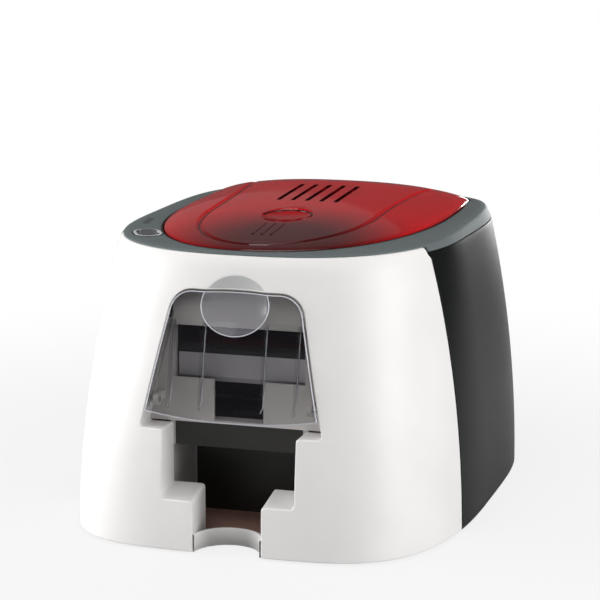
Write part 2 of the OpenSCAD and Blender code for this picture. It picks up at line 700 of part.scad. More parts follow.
// ---- Card hopper: plate with a feed window, and the well behind it ----
window_low = path_z + 27;
window_high = 147;
finger_half = 17;
plate_y = [tunnel_y, tunnel_y + 2.4];
plate_lean = 9;
well_wall = 2;
well_rear = plate_y[1] + card_d + 2;
well_top = window_high + 4;
hopper_floor = path_z - 2.5;
hopper_top = path_z - 0.5;
pickup_y = tunnel_y + 30;
pickup_w = 26;
press_r = 2;
module card_hopper() color(pale_c) difference() {
    union() {
        // Upright plate that closes the front opening behind the flap
        prism_y(plate_y[0], plate_y[1]) intersection() {
            offset(delta = return_wall) front_opening();
            translate([-body_w / 2, hopper_floor]) square([body_w, well_top - hopper_floor]);
        }
        // Its top leans back to clear the thumb scoop
        prism_x(-shoulder_half - shoulder_r, shoulder_half + shoulder_r) polygon([
            [plate_y[0], well_top - 2],
            [plate_y[0] + plate_lean, flap_top + 2],
            [plate_y[1] + plate_lean, flap_top + 2],
            [plate_y[1], well_top - 2]]);
        box([-bin_half - well_wall, plate_y[0], hopper_floor],
            [bin_half + well_wall, well_rear + well_wall, hopper_top]);
        for (s = [0, 1]) mirror([s, 0, 0]) {
            box([bin_half, plate_y[0], hopper_floor],
                [bin_half + well_wall, well_rear + well_wall, well_top]);
            box([bin_half + well_wall, pickup_y - 8, hopper_floor],
                [plate_x, pickup_y - 4, hopper_floor + 12]);
            // Lugs for the flap's hinge pins
            rod_x(lug_x - lug_t, lug_x, flap_pin_y, flap_pin_z, lug_r);
            box([lug_x - lug_t, flap_pin_y, flap_pin_z - lug_r / 3], [lug_x, plate_y[1], flap_pin_z + lug_r]);
        }
        box([-bin_half - well_wall, well_rear, path_z + 4],
            [bin_half + well_wall, well_rear + well_wall, well_top]);
    }
    box([-finger_half, plate_y[0] - 1, hopper_top], [finger_half, plate_y[1] + 1, window_low + 1]);
    box([-bin_half, plate_y[0] - 1, window_low], [bin_half, plate_y[1] + 1, window_high]);
    box([-pickup_w / 2 - 2, pickup_y - 9, hopper_floor - 1], [pickup_w / 2 + 2, pickup_y + 9, path_z + 1]);
    rod_x(-body_w, body_w, press_y, press_z, press_r);
    for (s = [0, 1]) mirror([s, 0, 0])
        rod_x(lug_x - lug_t - 1, lug_x + 1, flap_pin_y, flap_pin_z, flap_pin_r + run_gap);
}

// Hinged plate that presses the cards onto the pickup roller
press_y = well_rear - 7;
press_z = window_low + 17;
press_x = bin_half - 1.5;
press_front = plate_y[1] + 6;
press_low = window_low - 4;
press_t = 3;
module card_press() color(pale_c) prism_x(-press_x, press_x) difference() {
    union() {
        translate([press_y, press_z]) circle(press_r + 2.5);
        polygon([
            [press_y, press_z + 4.5],
            [press_front + 3, press_z + 4.5],
            [press_front, press_z + 1.5],
            [press_front, press_low + 4],
            [press_front + 4, press_low],
            [press_front + 18, press_low],
            [press_front + 18, press_low + press_t],
            [press_front + 5, press_low + press_t],
            [press_front + press_t, press_low + 5],
            [press_front + press_t, press_z + 4.5 - press_t],
            [press_y, press_z + 4.5 - press_t]]);
    }
    translate([press_y, press_z]) circle(press_r + run_gap);
}
module press_pivot() color(steel_c)
    rod_x(-bin_half - well_wall - 1, bin_half + well_wall + 1, press_y, press_z, press_r);

// ---- Output bin ----
bin_floor = 9;
bin_rear = tunnel_y + card_d - 12;
bin_top = 68;
exit_z = [54, 63];
module output_bin() color(coal_c) difference() {
    union() {
        box([-bin_half - well_wall, tunnel_y, bin_floor - well_wall],
            [bin_half + well_wall, bin_rear + well_wall, bin_top]);
        box([-bin_half - well_wall, tunnel_y, bin_top - 1],
            [bin_half + well_wall, tunnel_y + well_wall, hopper_floor]);
        for (s = [0, 1]) mirror([s, 0, 0])
            box([bin_half, tunnel_y + 16, bin_floor], [plate_x, tunnel_y + 20, bin_floor + 20]);
    }
    box([-bin_half, tunnel_y - 1, bin_floor], [bin_half, bin_rear, bin_top - well_wall]);
    box([-bin_half, bin_rear - 1, exit_z[0]], [bin_half, bin_rear + 5, exit_z[1]]);
}

// ---- Chassis ----
motor_size = 42;
motor_len = 34;
motor_boss_r = 11;
motor_shaft_r = 2.5;
ribbon_motor_r = 12;
ribbon_motor_len = 24;
ribbon_boss_r = 5;
ribbon_shaft_r = 1.5;
shaft_z = path_z - roller_r;
bush_r = 5;
roller_half = card_w / 2 - 1;
clean_r = 6.5;
clean_z = path_z + card_t + 0.2 + clean_r;
idler_teeth = 48;
platen_teeth = 24;
pinion_teeth = 16;
gear_slack = 0.12;
function reach(a, b) = gear_m * (a + b) / 2 + gear_slack;
platen_dir = 30;
pinion_dir = 225;
idler_pos = [platen_y - reach(idler_teeth, platen_teeth) * cos(platen_dir),
    shaft_z - reach(idler_teeth, platen_teeth) * sin(platen_dir)];
motor_pos = [idler_pos[0] + reach(idler_teeth, pinion_teeth) * cos(pinion_dir),
    idler_pos[1] + reach(idler_teeth, pinion_teeth) * sin(pinion_dir)];
takeup_pos = [platen_y - 65, path_z + 43.5];
supply_pos = [platen_y + 58, path_z + 37.5];
takeup_teeth = 30;
ribbon_teeth = 14;
ribbon_dir = 225;
ribbon_pos = [takeup_pos[0] + reach(takeup_teeth, ribbon_teeth) * cos(ribbon_dir),
    takeup_pos[1] + reach(takeup_teeth, ribbon_teeth) * sin(ribbon_dir)];
bush_points = [[pickup_y, shaft_z], [feed_y, shaft_z], [feed_y, clean_z], [platen_y, shaft_z]];
plate_front = tunnel_y + 8;
plate_rear = supply_pos[0] + 30;
plate_top = supply_pos[1] + 30;
rod_points = [[plate_front + 46, 20], [platen_y - 18, 14], [plate_rear - 10, 32],
    [plate_rear - 10, plate_top - 12], [feed_y - 10, plate_top - 12]];
rod_r = 3;
rod_end_r = 1.6;
plate_outline = [[plate_front, tray_top], [plate_rear, tray_top], [plate_rear, plate_top - 6],
    [plate_rear - 22, plate_top], [feed_y - 8, plate_top], [plate_front, plate_top - 48]];
module chassis_plate() {
    prism_x(plate_x, plate_x + plate_t) difference() {
        polygon(plate_outline);
        for (p = bush_points) translate(p) circle(bush_r);
        for (p = rod_points) translate(p) circle(rod_end_r);
    }
    for (p = screw_points) if (p[0] > 0) difference() {
        box([plate_x, p[1] - 8, tray_top], [p[0] + 6, p[1] + 8, tray_top + plate_t]);
        translate([p[0], p[1], 0]) cylinder(h = 20, r = screw_r);
    }
}
module chassis_right() color(steel_c) difference() {
    chassis_plate();
    rod_x(plate_x - 1, plate_x + plate_t + 1, motor_pos[0], motor_pos[1], motor_boss_r);
    rod_x(plate_x - 1, plate_x + plate_t + 1, idler_pos[0], idler_pos[1], shaft_r);
}
module chassis_left() color(steel_c) difference() {
    mirror([1, 0, 0]) chassis_plate();
    rod_x(-plate_x - plate_t - 1, -plate_x + 1, ribbon_pos[0], ribbon_pos[1], ribbon_boss_r);
}
module chassis_rods() color(steel_c) for (p = rod_points) {
    rod_x(-plate_x, plate_x, p[0], p[1], rod_r);
    rod_x(-plate_x - plate_t, plate_x + plate_t, p[0], p[1], rod_end_r);
    for (s = [0, 1]) mirror([s, 0, 0])
        rod_x(plate_x + plate_t, plate_x + plate_t + rod_end_r, p[0], p[1], 2 * rod_end_r);
}
module shaft_bushes() color(gear_c) for (p = bush_points) for (s = [0, 1]) mirror([s, 0, 0]) difference() {
    union() {
        rod_x(plate_x - 1.2, plate_x, p[0], p[1], bush_r + 1.4);
        rod_x(plate_x - 0.1, plate_x + plate_t, p[0], p[1], bush_r);
    }
    rod_x(plate_x - 3, plate_x + 5, p[0], p[1], shaft_r + run_gap);
}

// Plate under the card path, with windows for the rollers, and the chute down to the bin
chute_y = platen_y - 44;
chute_t = 1.4;
chute_line = [[chute_y, path_z - 1], [feed_y + 14, shaft_z - roller_r - 3],
    [bin_rear + well_wall, exit_z[0] + 1]];
module path_plate() color(steel_c) difference() {
    union() {
        box([-plate_x, well_rear + well_wall + fit_gap, path_z - 1.7],
            [plate_x, platen_y + 32, path_z - 0.5]);
        prism_x(-bin_half, bin_half)
            polygon(concat(chute_line, [for (i = [2:-1:0]) [chute_line[i][0], chute_line[i][1] - chute_t]]));
    }
    for (y = [feed_y, platen_y])
        box([-roller_half - 8, y - roller_r - 1.5, shaft_z + 2],
            [roller_half + 8, y + roller_r + 1.5, path_z + 1]);
    // Slot through which a printed card drops back to the chute
    box([-bin_half, chute_y - 12, path_z - 2], [bin_half, chute_y - 1.5, path_z + 1]);
}

// ---- Rollers and shafts ----
shaft_end = plate_x + plate_t + 17;
module shaft(y, z, x0, x1) {
    rod_x(x0, x1, y, z, shaft_r);
}
module sleeve(y, z, x0, x1, r) {
    difference() {
        rod_x(x0, x1, y, z, r);
        rod_x(x0 - 1, x1 + 1, y, z, shaft_r);
    }
}
module pickup_roller() color(rubber_c) sleeve(pickup_y, shaft_z, -pickup_w / 2, pickup_w / 2, roller_r);
module pickup_shaft() color(steel_c) shaft(pickup_y, shaft_z, -plate_x - plate_t, plate_x + plate_t + 9);
module feed_roller() color(rubber_c) sleeve(feed_y, shaft_z, -roller_half, roller_half, roller_r);
module feed_shaft() color(steel_c) shaft(feed_y, shaft_z, -plate_x - plate_t, plate_x + plate_t + 9);
module platen_roller() color(rubber_c) sleeve(platen_y, shaft_z, -roller_half, roller_half, roller_r);
module platen_shaft() color(steel_c) shaft(platen_y, shaft_z, -plate_x - plate_t, shaft_end);
module cleaning_roller() color([0.75, 0.8, 0.85]) {
    rod_x(-roller_half, roller_half, feed_y, clean_z, clean_r);
    rod_x(-plate_x - plate_t, plate_x + plate_t, feed_y, clean_z, shaft_r);
}

// ---- Belt and pulleys on the right side ----
belt_x = [plate_x + plate_t + 1.5, plate_x + plate_t + 7.5];
pulley_r = 8;
belt_t = 1.4;
module pulley(y) {
    difference() {
        union() {
            rod_x(belt_x[0], belt_x[1], y, shaft_z, pulley_r);
            rod_x(belt_x[0] - 0.8, belt_x[0] - 0.2, y, shaft_z, pulley_r + 2);
            rod_x(belt_x[1] + 0.2, belt_x[1] + 0.8, y, shaft_z, pulley_r + 2);
            rod_x(belt_x[0] - 0.8, belt_x[1] + 0.8, y, shaft_z, pulley_r - 1);
        }
        rod_x(belt_x[0] - 2, belt_x[1] + 2, y, shaft_z, shaft_r);
    }
}
module feed_pulley() color(gear_c) pulley(feed_y);
module pickup_pulley() color(gear_c) pulley(pickup_y);
module platen_pulley() color(gear_c) pulley(platen_y);
module belt_line(r) {
    for (y = [pickup_y, platen_y]) translate([y, shaft_z]) circle(r, $fn = 64);
    translate([pickup_y, shaft_z - r]) square([platen_y - pickup_y, 2 * r]);
}
module drive_belt() color(rubber_c) prism_x(belt_x[0], belt_x[1]) difference() {
    belt_line(pulley_r + run_gap + belt_t);
    belt_line(pulley_r + run_gap);
}

// ---- Gears: involute teeth, turning about X ----
gear_x = [belt_x[1] + 2.5, belt_x[1] + 8];
pressure = 20;
addendum = 0.9;
dedendum = 1.2;
backlash = 0.16;
function involute(a) = tan(a) * 180 / PI - a;
function flank(teeth, r) =
    let(base = gear_m * teeth / 2 * cos(pressure), a = r > base ? acos(base / r) : 0)
    90 / teeth - backlash / (gear_m * teeth) * 180 / PI + involute(pressure) - involute(a);
function gear_outline(teeth, phase) =
    let(
        low = gear_m * (teeth / 2 - dedendum),
        high = gear_m * (teeth / 2 + addendum),
        radii = [low, gear_m * (teeth / 2 - 0.5), gear_m * teeth / 2, gear_m * (teeth / 2 + 0.5), high]
    )
    [for (i = [0:teeth - 1]) for (k = [0:9])
        let(
            r = radii[k < 5 ? k : 9 - k],
            a = phase + 360 * i / teeth + (k < 5 ? -1 : 1) * flank(teeth, r)
        )
        [r * cos(a), r * sin(a)]];
module gear(pos, teeth, phase, x0, x1, bore) {
    prism_x(x0, x1) translate(pos) difference() {
        polygon(gear_outline(teeth, phase));
        circle(bore);
    }
}
// Phase of a gear driven from a gear whose tooth stands at lead degrees off the line of centres
function mesh_phase(dir, teeth, driver_teeth, driver_phase) =
    let(step = 360 / driver_teeth, lead = (driver_phase - dir) - step * floor((driver_phase - dir) / step))
    dir + 180 + 180 / teeth - lead * driver_teeth / teeth;
module idler_gear() color(gear_c)
    gear(idler_pos, idler_teeth, pinion_dir, gear_x[0], gear_x[1], shaft_r + run_gap);
module platen_gear() color(gear_c)
    gear([platen_y, shaft_z], platen_teeth, mesh_phase(platen_dir, platen_teeth, idler_teeth, pinion_dir),
        gear_x[0], gear_x[1], shaft_r);
module motor_pinion() color([0.8, 0.7, 0.4]) {
    gear(motor_pos, pinion_teeth, mesh_phase(pinion_dir, pinion_teeth, idler_teeth, pinion_dir),
        gear_x[0], gear_x[1], motor_shaft_r);
    rod_x(plate_x - 5, gear_x[1] + 1, motor_pos[0], motor_pos[1], motor_shaft_r);
}
module idler_stud() color(steel_c) {
    rod_x(plate_x, gear_x[1] + 1, idler_pos[0], idler_pos[1], shaft_r);
    rod_x(plate_x + plate_t, gear_x[0] - 0.5, idler_pos[0], idler_pos[1], shaft_r + 1.5);
    rod_x(gear_x[1] + 0.5, gear_x[1] + 2, idler_pos[0], idler_pos[1], shaft_r + 1.5);
}

// ---- Motors ----
module main_motor() color([0.3, 0.3, 0.32]) difference() {
    union() {
        box([plate_x - motor_len, motor_pos[0] - motor_size / 2, motor_pos[1] - motor_size / 2],
            [plate_x, motor_pos[0] + motor_size / 2, motor_pos[1] + motor_size / 2]);
        rod_x(plate_x - 0.1, plate_x + plate_t, motor_pos[0], motor_pos[1], motor_boss_r);
    }
    rod_x(plate_x - 8, plate_x + 8, motor_pos[0], motor_pos[1], motor_shaft_r + run_gap);
}
takeup_x = [-plate_x + 1, -plate_x + 5];
module ribbon_motor() color([0.3, 0.3, 0.32]) difference() {
    union() {
        rod_x(-plate_x - plate_t - ribbon_motor_len, -plate_x - plate_t,
            ribbon_pos[0], ribbon_pos[1], ribbon_motor_r);
        rod_x(-plate_x - plate_t - 0.1, -plate_x, ribbon_pos[0], ribbon_pos[1], ribbon_boss_r);
    }
    rod_x(-plate_x - plate_t - 6, -plate_x + 8, ribbon_pos[0], ribbon_pos[1], ribbon_shaft_r + run_gap);
}
module ribbon_pinion() color([0.8, 0.7, 0.4]) {
    gear(ribbon_pos, ribbon_teeth, mesh_phase(ribbon_dir, ribbon_teeth, takeup_teeth, ribbon_dir),
        takeup_x[0], takeup_x[1], ribbon_shaft_r);
    rod_x(-plate_x - plate_t - 5, takeup_x[1], ribbon_pos[0], ribbon_pos[1], ribbon_shaft_r);
}

// ---- Ribbon cassette ----
cheek_x = [ribbon_w / 2 + 10, ribbon_w / 2 + 12];
guide_r = 2.5;
guide_points = [[platen_y - 28, path_z + 4.2], [platen_y + 28, path_z + 4.2]];
cheek_low = path_z + 0.7;
cheek_front = takeup_pos[0] - 25;
cheek_rear = supply_pos[0] + 20;
cheek_outline = [[cheek_front, takeup_pos[1] - 16], [takeup_pos[0] - 9, takeup_pos[1] - 28],
    [platen_y - 34, cheek_low], [platen_y + 34, cheek_low],
    [cheek_rear - 8, supply_pos[1] - 20], [cheek_rear, supply_pos[1] + 2],
    [cheek_rear - 8, supply_pos[1] + 24],
    [platen_y + 10, supply_pos[1] + 24], [platen_y, supply_pos[1] + 10], [platen_y - 38, supply_pos[1] + 10],
    [takeup_pos[0] + 15, takeup_pos[1] + 22], [cheek_front, takeup_pos[1] + 22]];
module cassette_frame() color(pale_c) difference() {
    union() {
        for (s = [0, 1]) mirror([s, 0, 0]) prism_x(cheek_x[0], cheek_x[1]) difference() {
            polygon(cheek_outline);
            for (p = [takeup_pos, supply_pos]) translate(p) circle(shaft_r + run_gap);
        }
        box([-cheek_x[0], cheek_front, takeup_pos[1] - 12],
            [cheek_x[0], cheek_front + 3, takeup_pos[1] + 20]);
        box([-cheek_x[0], supply_pos[0] + roll_r + 1, supply_pos[1] - 1],
            [cheek_x[0], supply_pos[0] + roll_r + 2.5, supply_pos[1] + 7]);
        for (s = [0, 1]) mirror([s, 0, 0])
            box([cheek_x[1], platen_y + 14, supply_pos[1] + 16],
                [plate_x, platen_y + 26, supply_pos[1] + 19]);
        for (p = guide_points) rod_x(-cheek_x[0], cheek_x[0], p[0], p[1], guide_r);
    }
}
module spool_core(pos, ends) {
    rod_x(-ribbon_w / 2 - 4, ribbon_w / 2 + 4, pos[0], pos[1], core_r);
    rod_x(-ends[0], ends[1], pos[0], pos[1], shaft_r);
}
module spool_roll(pos, r) {
    difference() {
        rod_x(-ribbon_w / 2, ribbon_w / 2, pos[0], pos[1], r);
        rod_x(-ribbon_w, ribbon_w, pos[0], pos[1], core_r);
    }
}
takeup_roll_r = core_r + 2.5;
module supply_core() color([0.85, 0.85, 0.8]) spool_core(supply_pos, [cheek_x[1], cheek_x[1]]);
module supply_roll() color([0.35, 0.1, 0.2]) spool_roll(supply_pos, roll_r);
module takeup_core() color([0.85, 0.85, 0.8]) spool_core(takeup_pos, [-takeup_x[0] - 0.5, cheek_x[1]]);
module takeup_roll() color([0.35, 0.1, 0.2]) spool_roll(takeup_pos, takeup_roll_r);
module takeup_gear() color(gear_c)
    gear(takeup_pos, takeup_teeth, ribbon_dir, takeup_x[0], takeup_x[1], shaft_r);

// Film from the take-up roll under both guides to the supply roll
film_t = 0.3;
film_r = guide_r + film_t;
film_low = guide_points[0][1] - film_r;
film_path = concat(
    [[takeup_pos[0] + takeup_roll_r + film_t, takeup_pos[1]]],
    [for (a = [210:15:270]) guide_points[0] + film_r * [cos(a), sin(a)]],
    [for (a = [270:15:330]) guide_points[1] + film_r * [cos(a), sin(a)]],
    [[supply_pos[0] - roll_r - film_t, supply_pos[1]]]);
function along(path, i) =
    let(d = path[min(i + 1, len(path) - 1)] - path[max(i - 1, 0)]) d / norm(d);
function band(path, t) = concat(
    [for (i = [0:len(path) - 1]) let(d = along(path, i)) path[i] + t / 2 * [-d[1], d[0]]],
    [for (i = [len(path) - 1:-1:0]) let(d = along(path, i)) path[i] + t / 2 * [d[1], -d[0]]]);
module ribbon_film() color([0.35, 0.1, 0.2]) prism_x(-ribbon_w / 2, ribbon_w / 2)
    polygon(band(film_path, film_t));

// ---- Print head, hung under the lid frame ----
head_low = film_low + film_t / 2 + 0.3;
head_half = ribbon_w / 2;
head_y = [platen_y - 8, platen_y + 10];
module print_head() color([0.75, 0.75, 0.72]) {
    box([-head_half, head_y[0], head_low + 2], [head_half, head_y[1], head_low + 14]);
    prism_x(-head_half, head_half) polygon([[platen_y - 6, head_low + 2.1], [platen_y - 2, head_low],
        [platen_y + 2, head_low], [platen_y + 6, head_low + 2.1]]);
}
head_top = head_low + 14;
spring_len = 8;
module head_springs() color(steel_c) for (s = [-1, 1])
    translate([s * head_half * 0.64, platen_y + 1, head_top]) spring(spring_len, 4, 0.5, 4);

// Coil spring of 8 rings a turn, six points a ring
spring_step = 8;
function spring_ring(length, r, wire, turns, i) =
    let(a = 360 * i / spring_step, z = wire + (length - 2 * wire) * i / (turns * spring_step))
    [for (k = [0:5])
        let(q = 60 * k)
        [(r + wire * cos(q)) * cos(a), (r + wire * cos(q)) * sin(a), z + wire * sin(q)]];
module spring(length, r, wire, turns) {
    rings = [for (i = [0:turns * spring_step]) spring_ring(length, r, wire, turns, i)];
    echo(least_gap_between_turns = min([for (p = rings[0]) for (q = rings[spring_step]) norm(q - p)]));
    sweep(rings);
}
module sweep(rings) {
    n = len(rings[0]);
    m = len(rings);
    sides = [for (j = [0:m - 2]) for (i = [0:n - 1]) for (k = [0:1])
        let(a = j * n + i, b = j * n + (i + 1) % n, c = b + n, d = a + n)
        k == 0 ? [a, b, c] : [a, c, d]];
    start = [for (i = [n - 1:-1:0]) i];
    end = [for (i = [0:n - 1]) (m - 1) * n + i];
    polyhedron([for (ring = rings) for (p = ring) p], concat(sides, [start, end]));
}
bracket_x = head_half + 4;
module head_bracket() color(steel_c) {
    box([-bracket_x, head_plate_y[0] - 24, head_top + spring_len],
        [bracket_x, head_plate_y[1], head_top + spring_len + 2]);
    box([-bracket_x, head_plate_y[1] - 2, head_top + spring_len + 1],
        [bracket_x, head_plate_y[1], frame_low - 1]);
    box([-bracket_x, head_plate_y[0] - 6, frame_low - 2], [bracket_x, head_plate_y[1], frame_low]);
    for (s = [-1, 1]) translate([s * (head_half - 2), platen_y + 1, head_top])
        cylinder(h = spring_len + 0.5, r = 1.8);
}

// ---- Electronics ----
board_x = [-78, 20];
board_y = [70, body_d / 2 - wall - 4];
board_feet = [[board_x[1] - 5, board_y[0] + 6], [board_x[1] - 5, board_y[1] - 12],
    [5 - plate_x, board_y[0] + 6], [board_x[0] + 5, board_y[1] - 12]];
module main_board() color(board_c) {
    translate([0, 0, board_top - board_t]) linear_extrude(board_t) polygon([
        [2 - plate_x, board_y[0]],
        [board_x[1], board_y[0]],
        [board_x[1], board_y[1]],
        [board_x[0], board_y[1]],
        [board_x[0], plate_rear + 3],
        [2 - plate_x, plate_rear + 3]]);
    for (p = board_feet) translate([p[0], p[1], tray_top])
        cylinder(h = board_top - board_t - tray_top + 0.1, r = 2.5);
    box([-40, 90, board_top], [-26, 104, board_top + 2.2]);
    box([-6, 84, board_top], [12, 90, board_top + 6]);
}
module usb_port() color(steel_c) difference() {
    translate([usb_x - usb_size[0] / 2, board_y[1] - 13, board_top]) cube([usb_size[0], 18, usb_size[1]]);
    translate([usb_x - usb_size[0] / 2 + 2, board_y[1] - 8, board_top + 2])
        cube([usb_size[0] - 4, 18, usb_size[1] - 4]);
}
module power_jack() color(rubber_c) difference() {
    union() {
        translate([jack_x - 5.5, board_y[1] - 12, board_top]) cube([11, 12, 11]);
        translate([jack_x, board_y[1] - 1, port_z]) rotate([-90, 0, 0]) cylinder(h = 6, r = jack_r);
    }
    translate([jack_x, board_y[1] - 8, port_z]) rotate([-90, 0, 0]) cylinder(h = 20, r = 3.2);
    translate([jack_x - 20, board_y[1] - 20, board_top - 5]) cube([40, 40, 5]);
}

base_tray();
rubber_feet();
front_casing();
left_side_panel();
right_side_panel();
rear_panel();
top_bezel();
hinge_brackets();
card_hopper();
press_pivot();
output_bin();
chassis_left();
chassis_right();
chassis_rods();
path_plate();
shaft_bushes();
main_motor();
ribbon_motor();
idler_stud();
drive_belt();
main_board();
usb_port();
power_jack();
status_lenses();
button_ring();
button_spring();
button_board();
cassette_frame();
ribbon_film();
casing_screws();
lid_shell();
lid_frame();
head_bracket();
print_head();
head_springs();
lid_hinge_pins();
hopper_flap();
flap_pins();
power_button();
button_lens();
card_press();
pickup_roller();
pickup_shaft();
pickup_pulley();
feed_roller();
feed_shaft();
feed_pulley();
cleaning_roller();
platen_roller();
platen_shaft();
platen_gear();
platen_pulley();
idler_gear();
motor_pinion();
supply_core();
supply_roll();
takeup_core();
takeup_roll();
takeup_gear();
ribbon_pinion();
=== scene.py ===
import json
import math

import bpy
import numpy as np
from mathutils import Matrix, Vector
from mathutils.geometry import delaunay_2d_cdt


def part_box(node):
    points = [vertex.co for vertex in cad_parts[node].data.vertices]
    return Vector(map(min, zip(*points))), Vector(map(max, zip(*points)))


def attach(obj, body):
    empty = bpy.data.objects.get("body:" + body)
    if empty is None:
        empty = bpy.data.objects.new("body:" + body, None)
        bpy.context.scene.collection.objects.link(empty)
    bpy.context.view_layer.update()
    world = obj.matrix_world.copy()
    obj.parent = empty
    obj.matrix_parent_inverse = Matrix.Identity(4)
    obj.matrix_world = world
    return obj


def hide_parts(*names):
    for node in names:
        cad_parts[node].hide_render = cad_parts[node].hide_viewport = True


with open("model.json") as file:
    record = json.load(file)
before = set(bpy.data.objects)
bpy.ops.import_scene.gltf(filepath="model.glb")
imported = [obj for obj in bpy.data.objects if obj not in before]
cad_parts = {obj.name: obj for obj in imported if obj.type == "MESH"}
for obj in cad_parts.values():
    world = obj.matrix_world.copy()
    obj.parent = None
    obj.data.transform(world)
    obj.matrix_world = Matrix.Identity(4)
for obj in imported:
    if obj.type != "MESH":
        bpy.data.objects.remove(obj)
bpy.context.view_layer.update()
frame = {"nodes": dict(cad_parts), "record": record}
MM = 0.001

# ---- Sizes in millimetres, the same as in the CAD source ----
BODY_W, BODY_D, RIM_Z, SKIRT_Z = 275.0, 339.0, 194.0, 1.5
SIDE_DRAW, FRONT_DRAW, REAR_DRAW, DRAW_Z = 22.0, 32.0, 20.0, 200.0
EDGE_R, EDGE_SHARE = 9.0, 0.62
FRONT_SQUARE, FRONT_SQUARE_LOSS, FRONT_ROUND = 4.55, 2.15, 2.7
REAR_SQUARE, REAR_ROUND = 6.2, 4.15
WALL, SEAM_Y, SEAM_GAP, REAR_HALF = 2.6, -70.0, 0.3, 84.0
BIN_HALF, NOTCH_HALF, LEDGE_Z, BIN_LEDGE_Z, LEDGE_RISE = 45.5, 23.5, 81.0, 35.5, 5.0
TUNNEL_Y, RETURN_WALL, LIP_Z = -142.0, 2.4, 13.0
FLAP_Z, FLAP_TOP, FLAP_HALF, FLAP_T = 92.0, 171.0, 59.0, 2.2
FLAP_GAP, FLAP_PROUD, FLAP_DIP = 0.8, 1.2, 4.0
SHOULDER_HALF, SHOULDER_R = 30.0, 16.0
FLAP_LEAN = (FLAP_HALF - SHOULDER_HALF - SHOULDER_R) / (FLAP_TOP - SHOULDER_R - FLAP_Z)
SCOOP_HALF, SCOOP_TALL, SCOOP_DEPTH, SCOOP_Z = 23.0, 19.3, 5.5, 163.0
BEZEL_T, BEZEL_WALL, LID_GAP, LID_T, LID_RISE = 1.8, 1.8, 1.2, 2.4, 15.0
SIDE_BORDER, FRONT_BORDER, REAR_BORDER, TROUGH_W = 18.0, 8.0, 6.5, 15.5
CORNER_R, LID_MID, NOSE_POWER, TAIL_POWER, TAIL_TAPER = 12.0, 45.0, 2.2, 6.0, 3.5
DOME_LOW, DOME_START, DOME_RUN, DOME_CROWN, DOME_EDGE = 0.53, 19.5, 200.0, 2.4, 0.6
SHOULDER_FRONT, SHOULDER_REAR = 3.5, 9.0
LID_Z = RIM_Z + 2
SKIRT_BOTTOM = RIM_Z - 4.5


# ---- Casing surface ----
def top_inset(z):
    rise = np.clip(EDGE_SHARE * (z - RIM_Z + EDGE_R) / EDGE_R, 0, 1)
    return EDGE_R * (1 - np.sqrt(1 - rise ** 2))


def half_w(z):
    return BODY_W / 2 - SIDE_DRAW * (z / DRAW_Z) ** 2 - top_inset(z)


def front_reach(z):
    return BODY_D / 2 - FRONT_DRAW * (z / DRAW_Z) ** 2 - top_inset(z)


def rear_reach(z):
    return BODY_D / 2 - REAR_DRAW * (z / DRAW_Z) ** 2 - top_inset(z)


def front_square(z):
    return FRONT_SQUARE - FRONT_SQUARE_LOSS * z / DRAW_Z


def front_y(x, z, inset=0.0):
    share = np.clip(np.abs(x) / (half_w(z) - inset), 0, 0.9999)
    return -(front_reach(z) - inset) * (1 - share ** front_square(z)) ** (1 / FRONT_ROUND)


def rear_y(x, z, inset=0.0):
    share = np.clip(np.abs(x) / (half_w(z) - inset), 0, 0.9999)
    return (rear_reach(z) - inset) * (1 - share ** REAR_SQUARE) ** (1 / REAR_ROUND)


def upright(y_of):
    """A surface, as a function of (x, z) and an inset, that is given by its y."""
    def place(uv, inset):
        return np.stack([uv[:, 0], y_of(uv[:, 0], uv[:, 1], inset), uv[:, 1]], 1)
    return place


def soft_max(a, b, width=0.5):
    """The larger of two numbers, with a rounded change from one to the other."""
    return (a + b + np.sqrt((a - b) ** 2 + width ** 2)) / 2


def scoop_depth(x, z):
    """Depth of the thumb scoop, a shallow elliptical dish across the casing and the flap."""
    share = (x / SCOOP_HALF) ** 2 + ((z - SCOOP_Z) / SCOOP_TALL) ** 2
    return np.maximum(soft_max(SCOOP_DEPTH * (1 - share), 0.0, 0.4) - 0.01, 0.0)


def scoop_ring(share, start=0.0, end=2 * np.pi, count=72):
    """Points (x, z) of the scoop's outline, at a share of its size."""
    t = np.linspace(start, end, count)
    return np.stack([SCOOP_HALF * share * np.cos(t), SCOOP_Z + SCOOP_TALL * share * np.sin(t)], 1)


def border_z(y):
    """Height of the border between the side panels and the bezel's shoulder."""
    slope = (SHOULDER_REAR - SHOULDER_FRONT) / (BODY_D / 2 - SEAM_Y + 1)
    return RIM_Z - SHOULDER_FRONT - slope * (y - SEAM_Y + 1)


# ---- Lid surface ----
LID_HALF = float(half_w(RIM_Z)) - SIDE_BORDER
LID_FRONT = FRONT_BORDER - float(front_reach(RIM_Z))
LID_REAR = float(rear_reach(RIM_Z)) - REAR_BORDER - TROUGH_W


def lid_half_w(y, inset=0.0):
    nose = np.clip((LID_MID - y) / (LID_MID - LID_FRONT - inset), 0, 1)
    front = (LID_HALF - inset) * (1 - nose ** NOSE_POWER) ** (1 / NOSE_POWER)
    turn = np.clip(y - (LID_REAR - CORNER_R), 0, CORNER_R - inset)
    corner = CORNER_R - inset - np.sqrt(np.maximum((CORNER_R - inset) ** 2 - turn ** 2, 0))
    rear = LID_HALF - inset - TAIL_TAPER * ((y - LID_MID) / (LID_REAR - LID_MID)) ** 2 - corner
    return np.where(y < LID_MID, front, rear)


def lid_length(y):
    nose = np.clip((LID_MID - y) / (LID_MID - LID_FRONT), 0, 1)
    tail = np.clip((y - LID_MID) / (LID_REAR - LID_MID), 0, 1)
    return np.where(y < LID_MID, (1 - nose ** NOSE_POWER) ** DOME_EDGE, (1 - tail ** TAIL_POWER) ** DOME_EDGE)


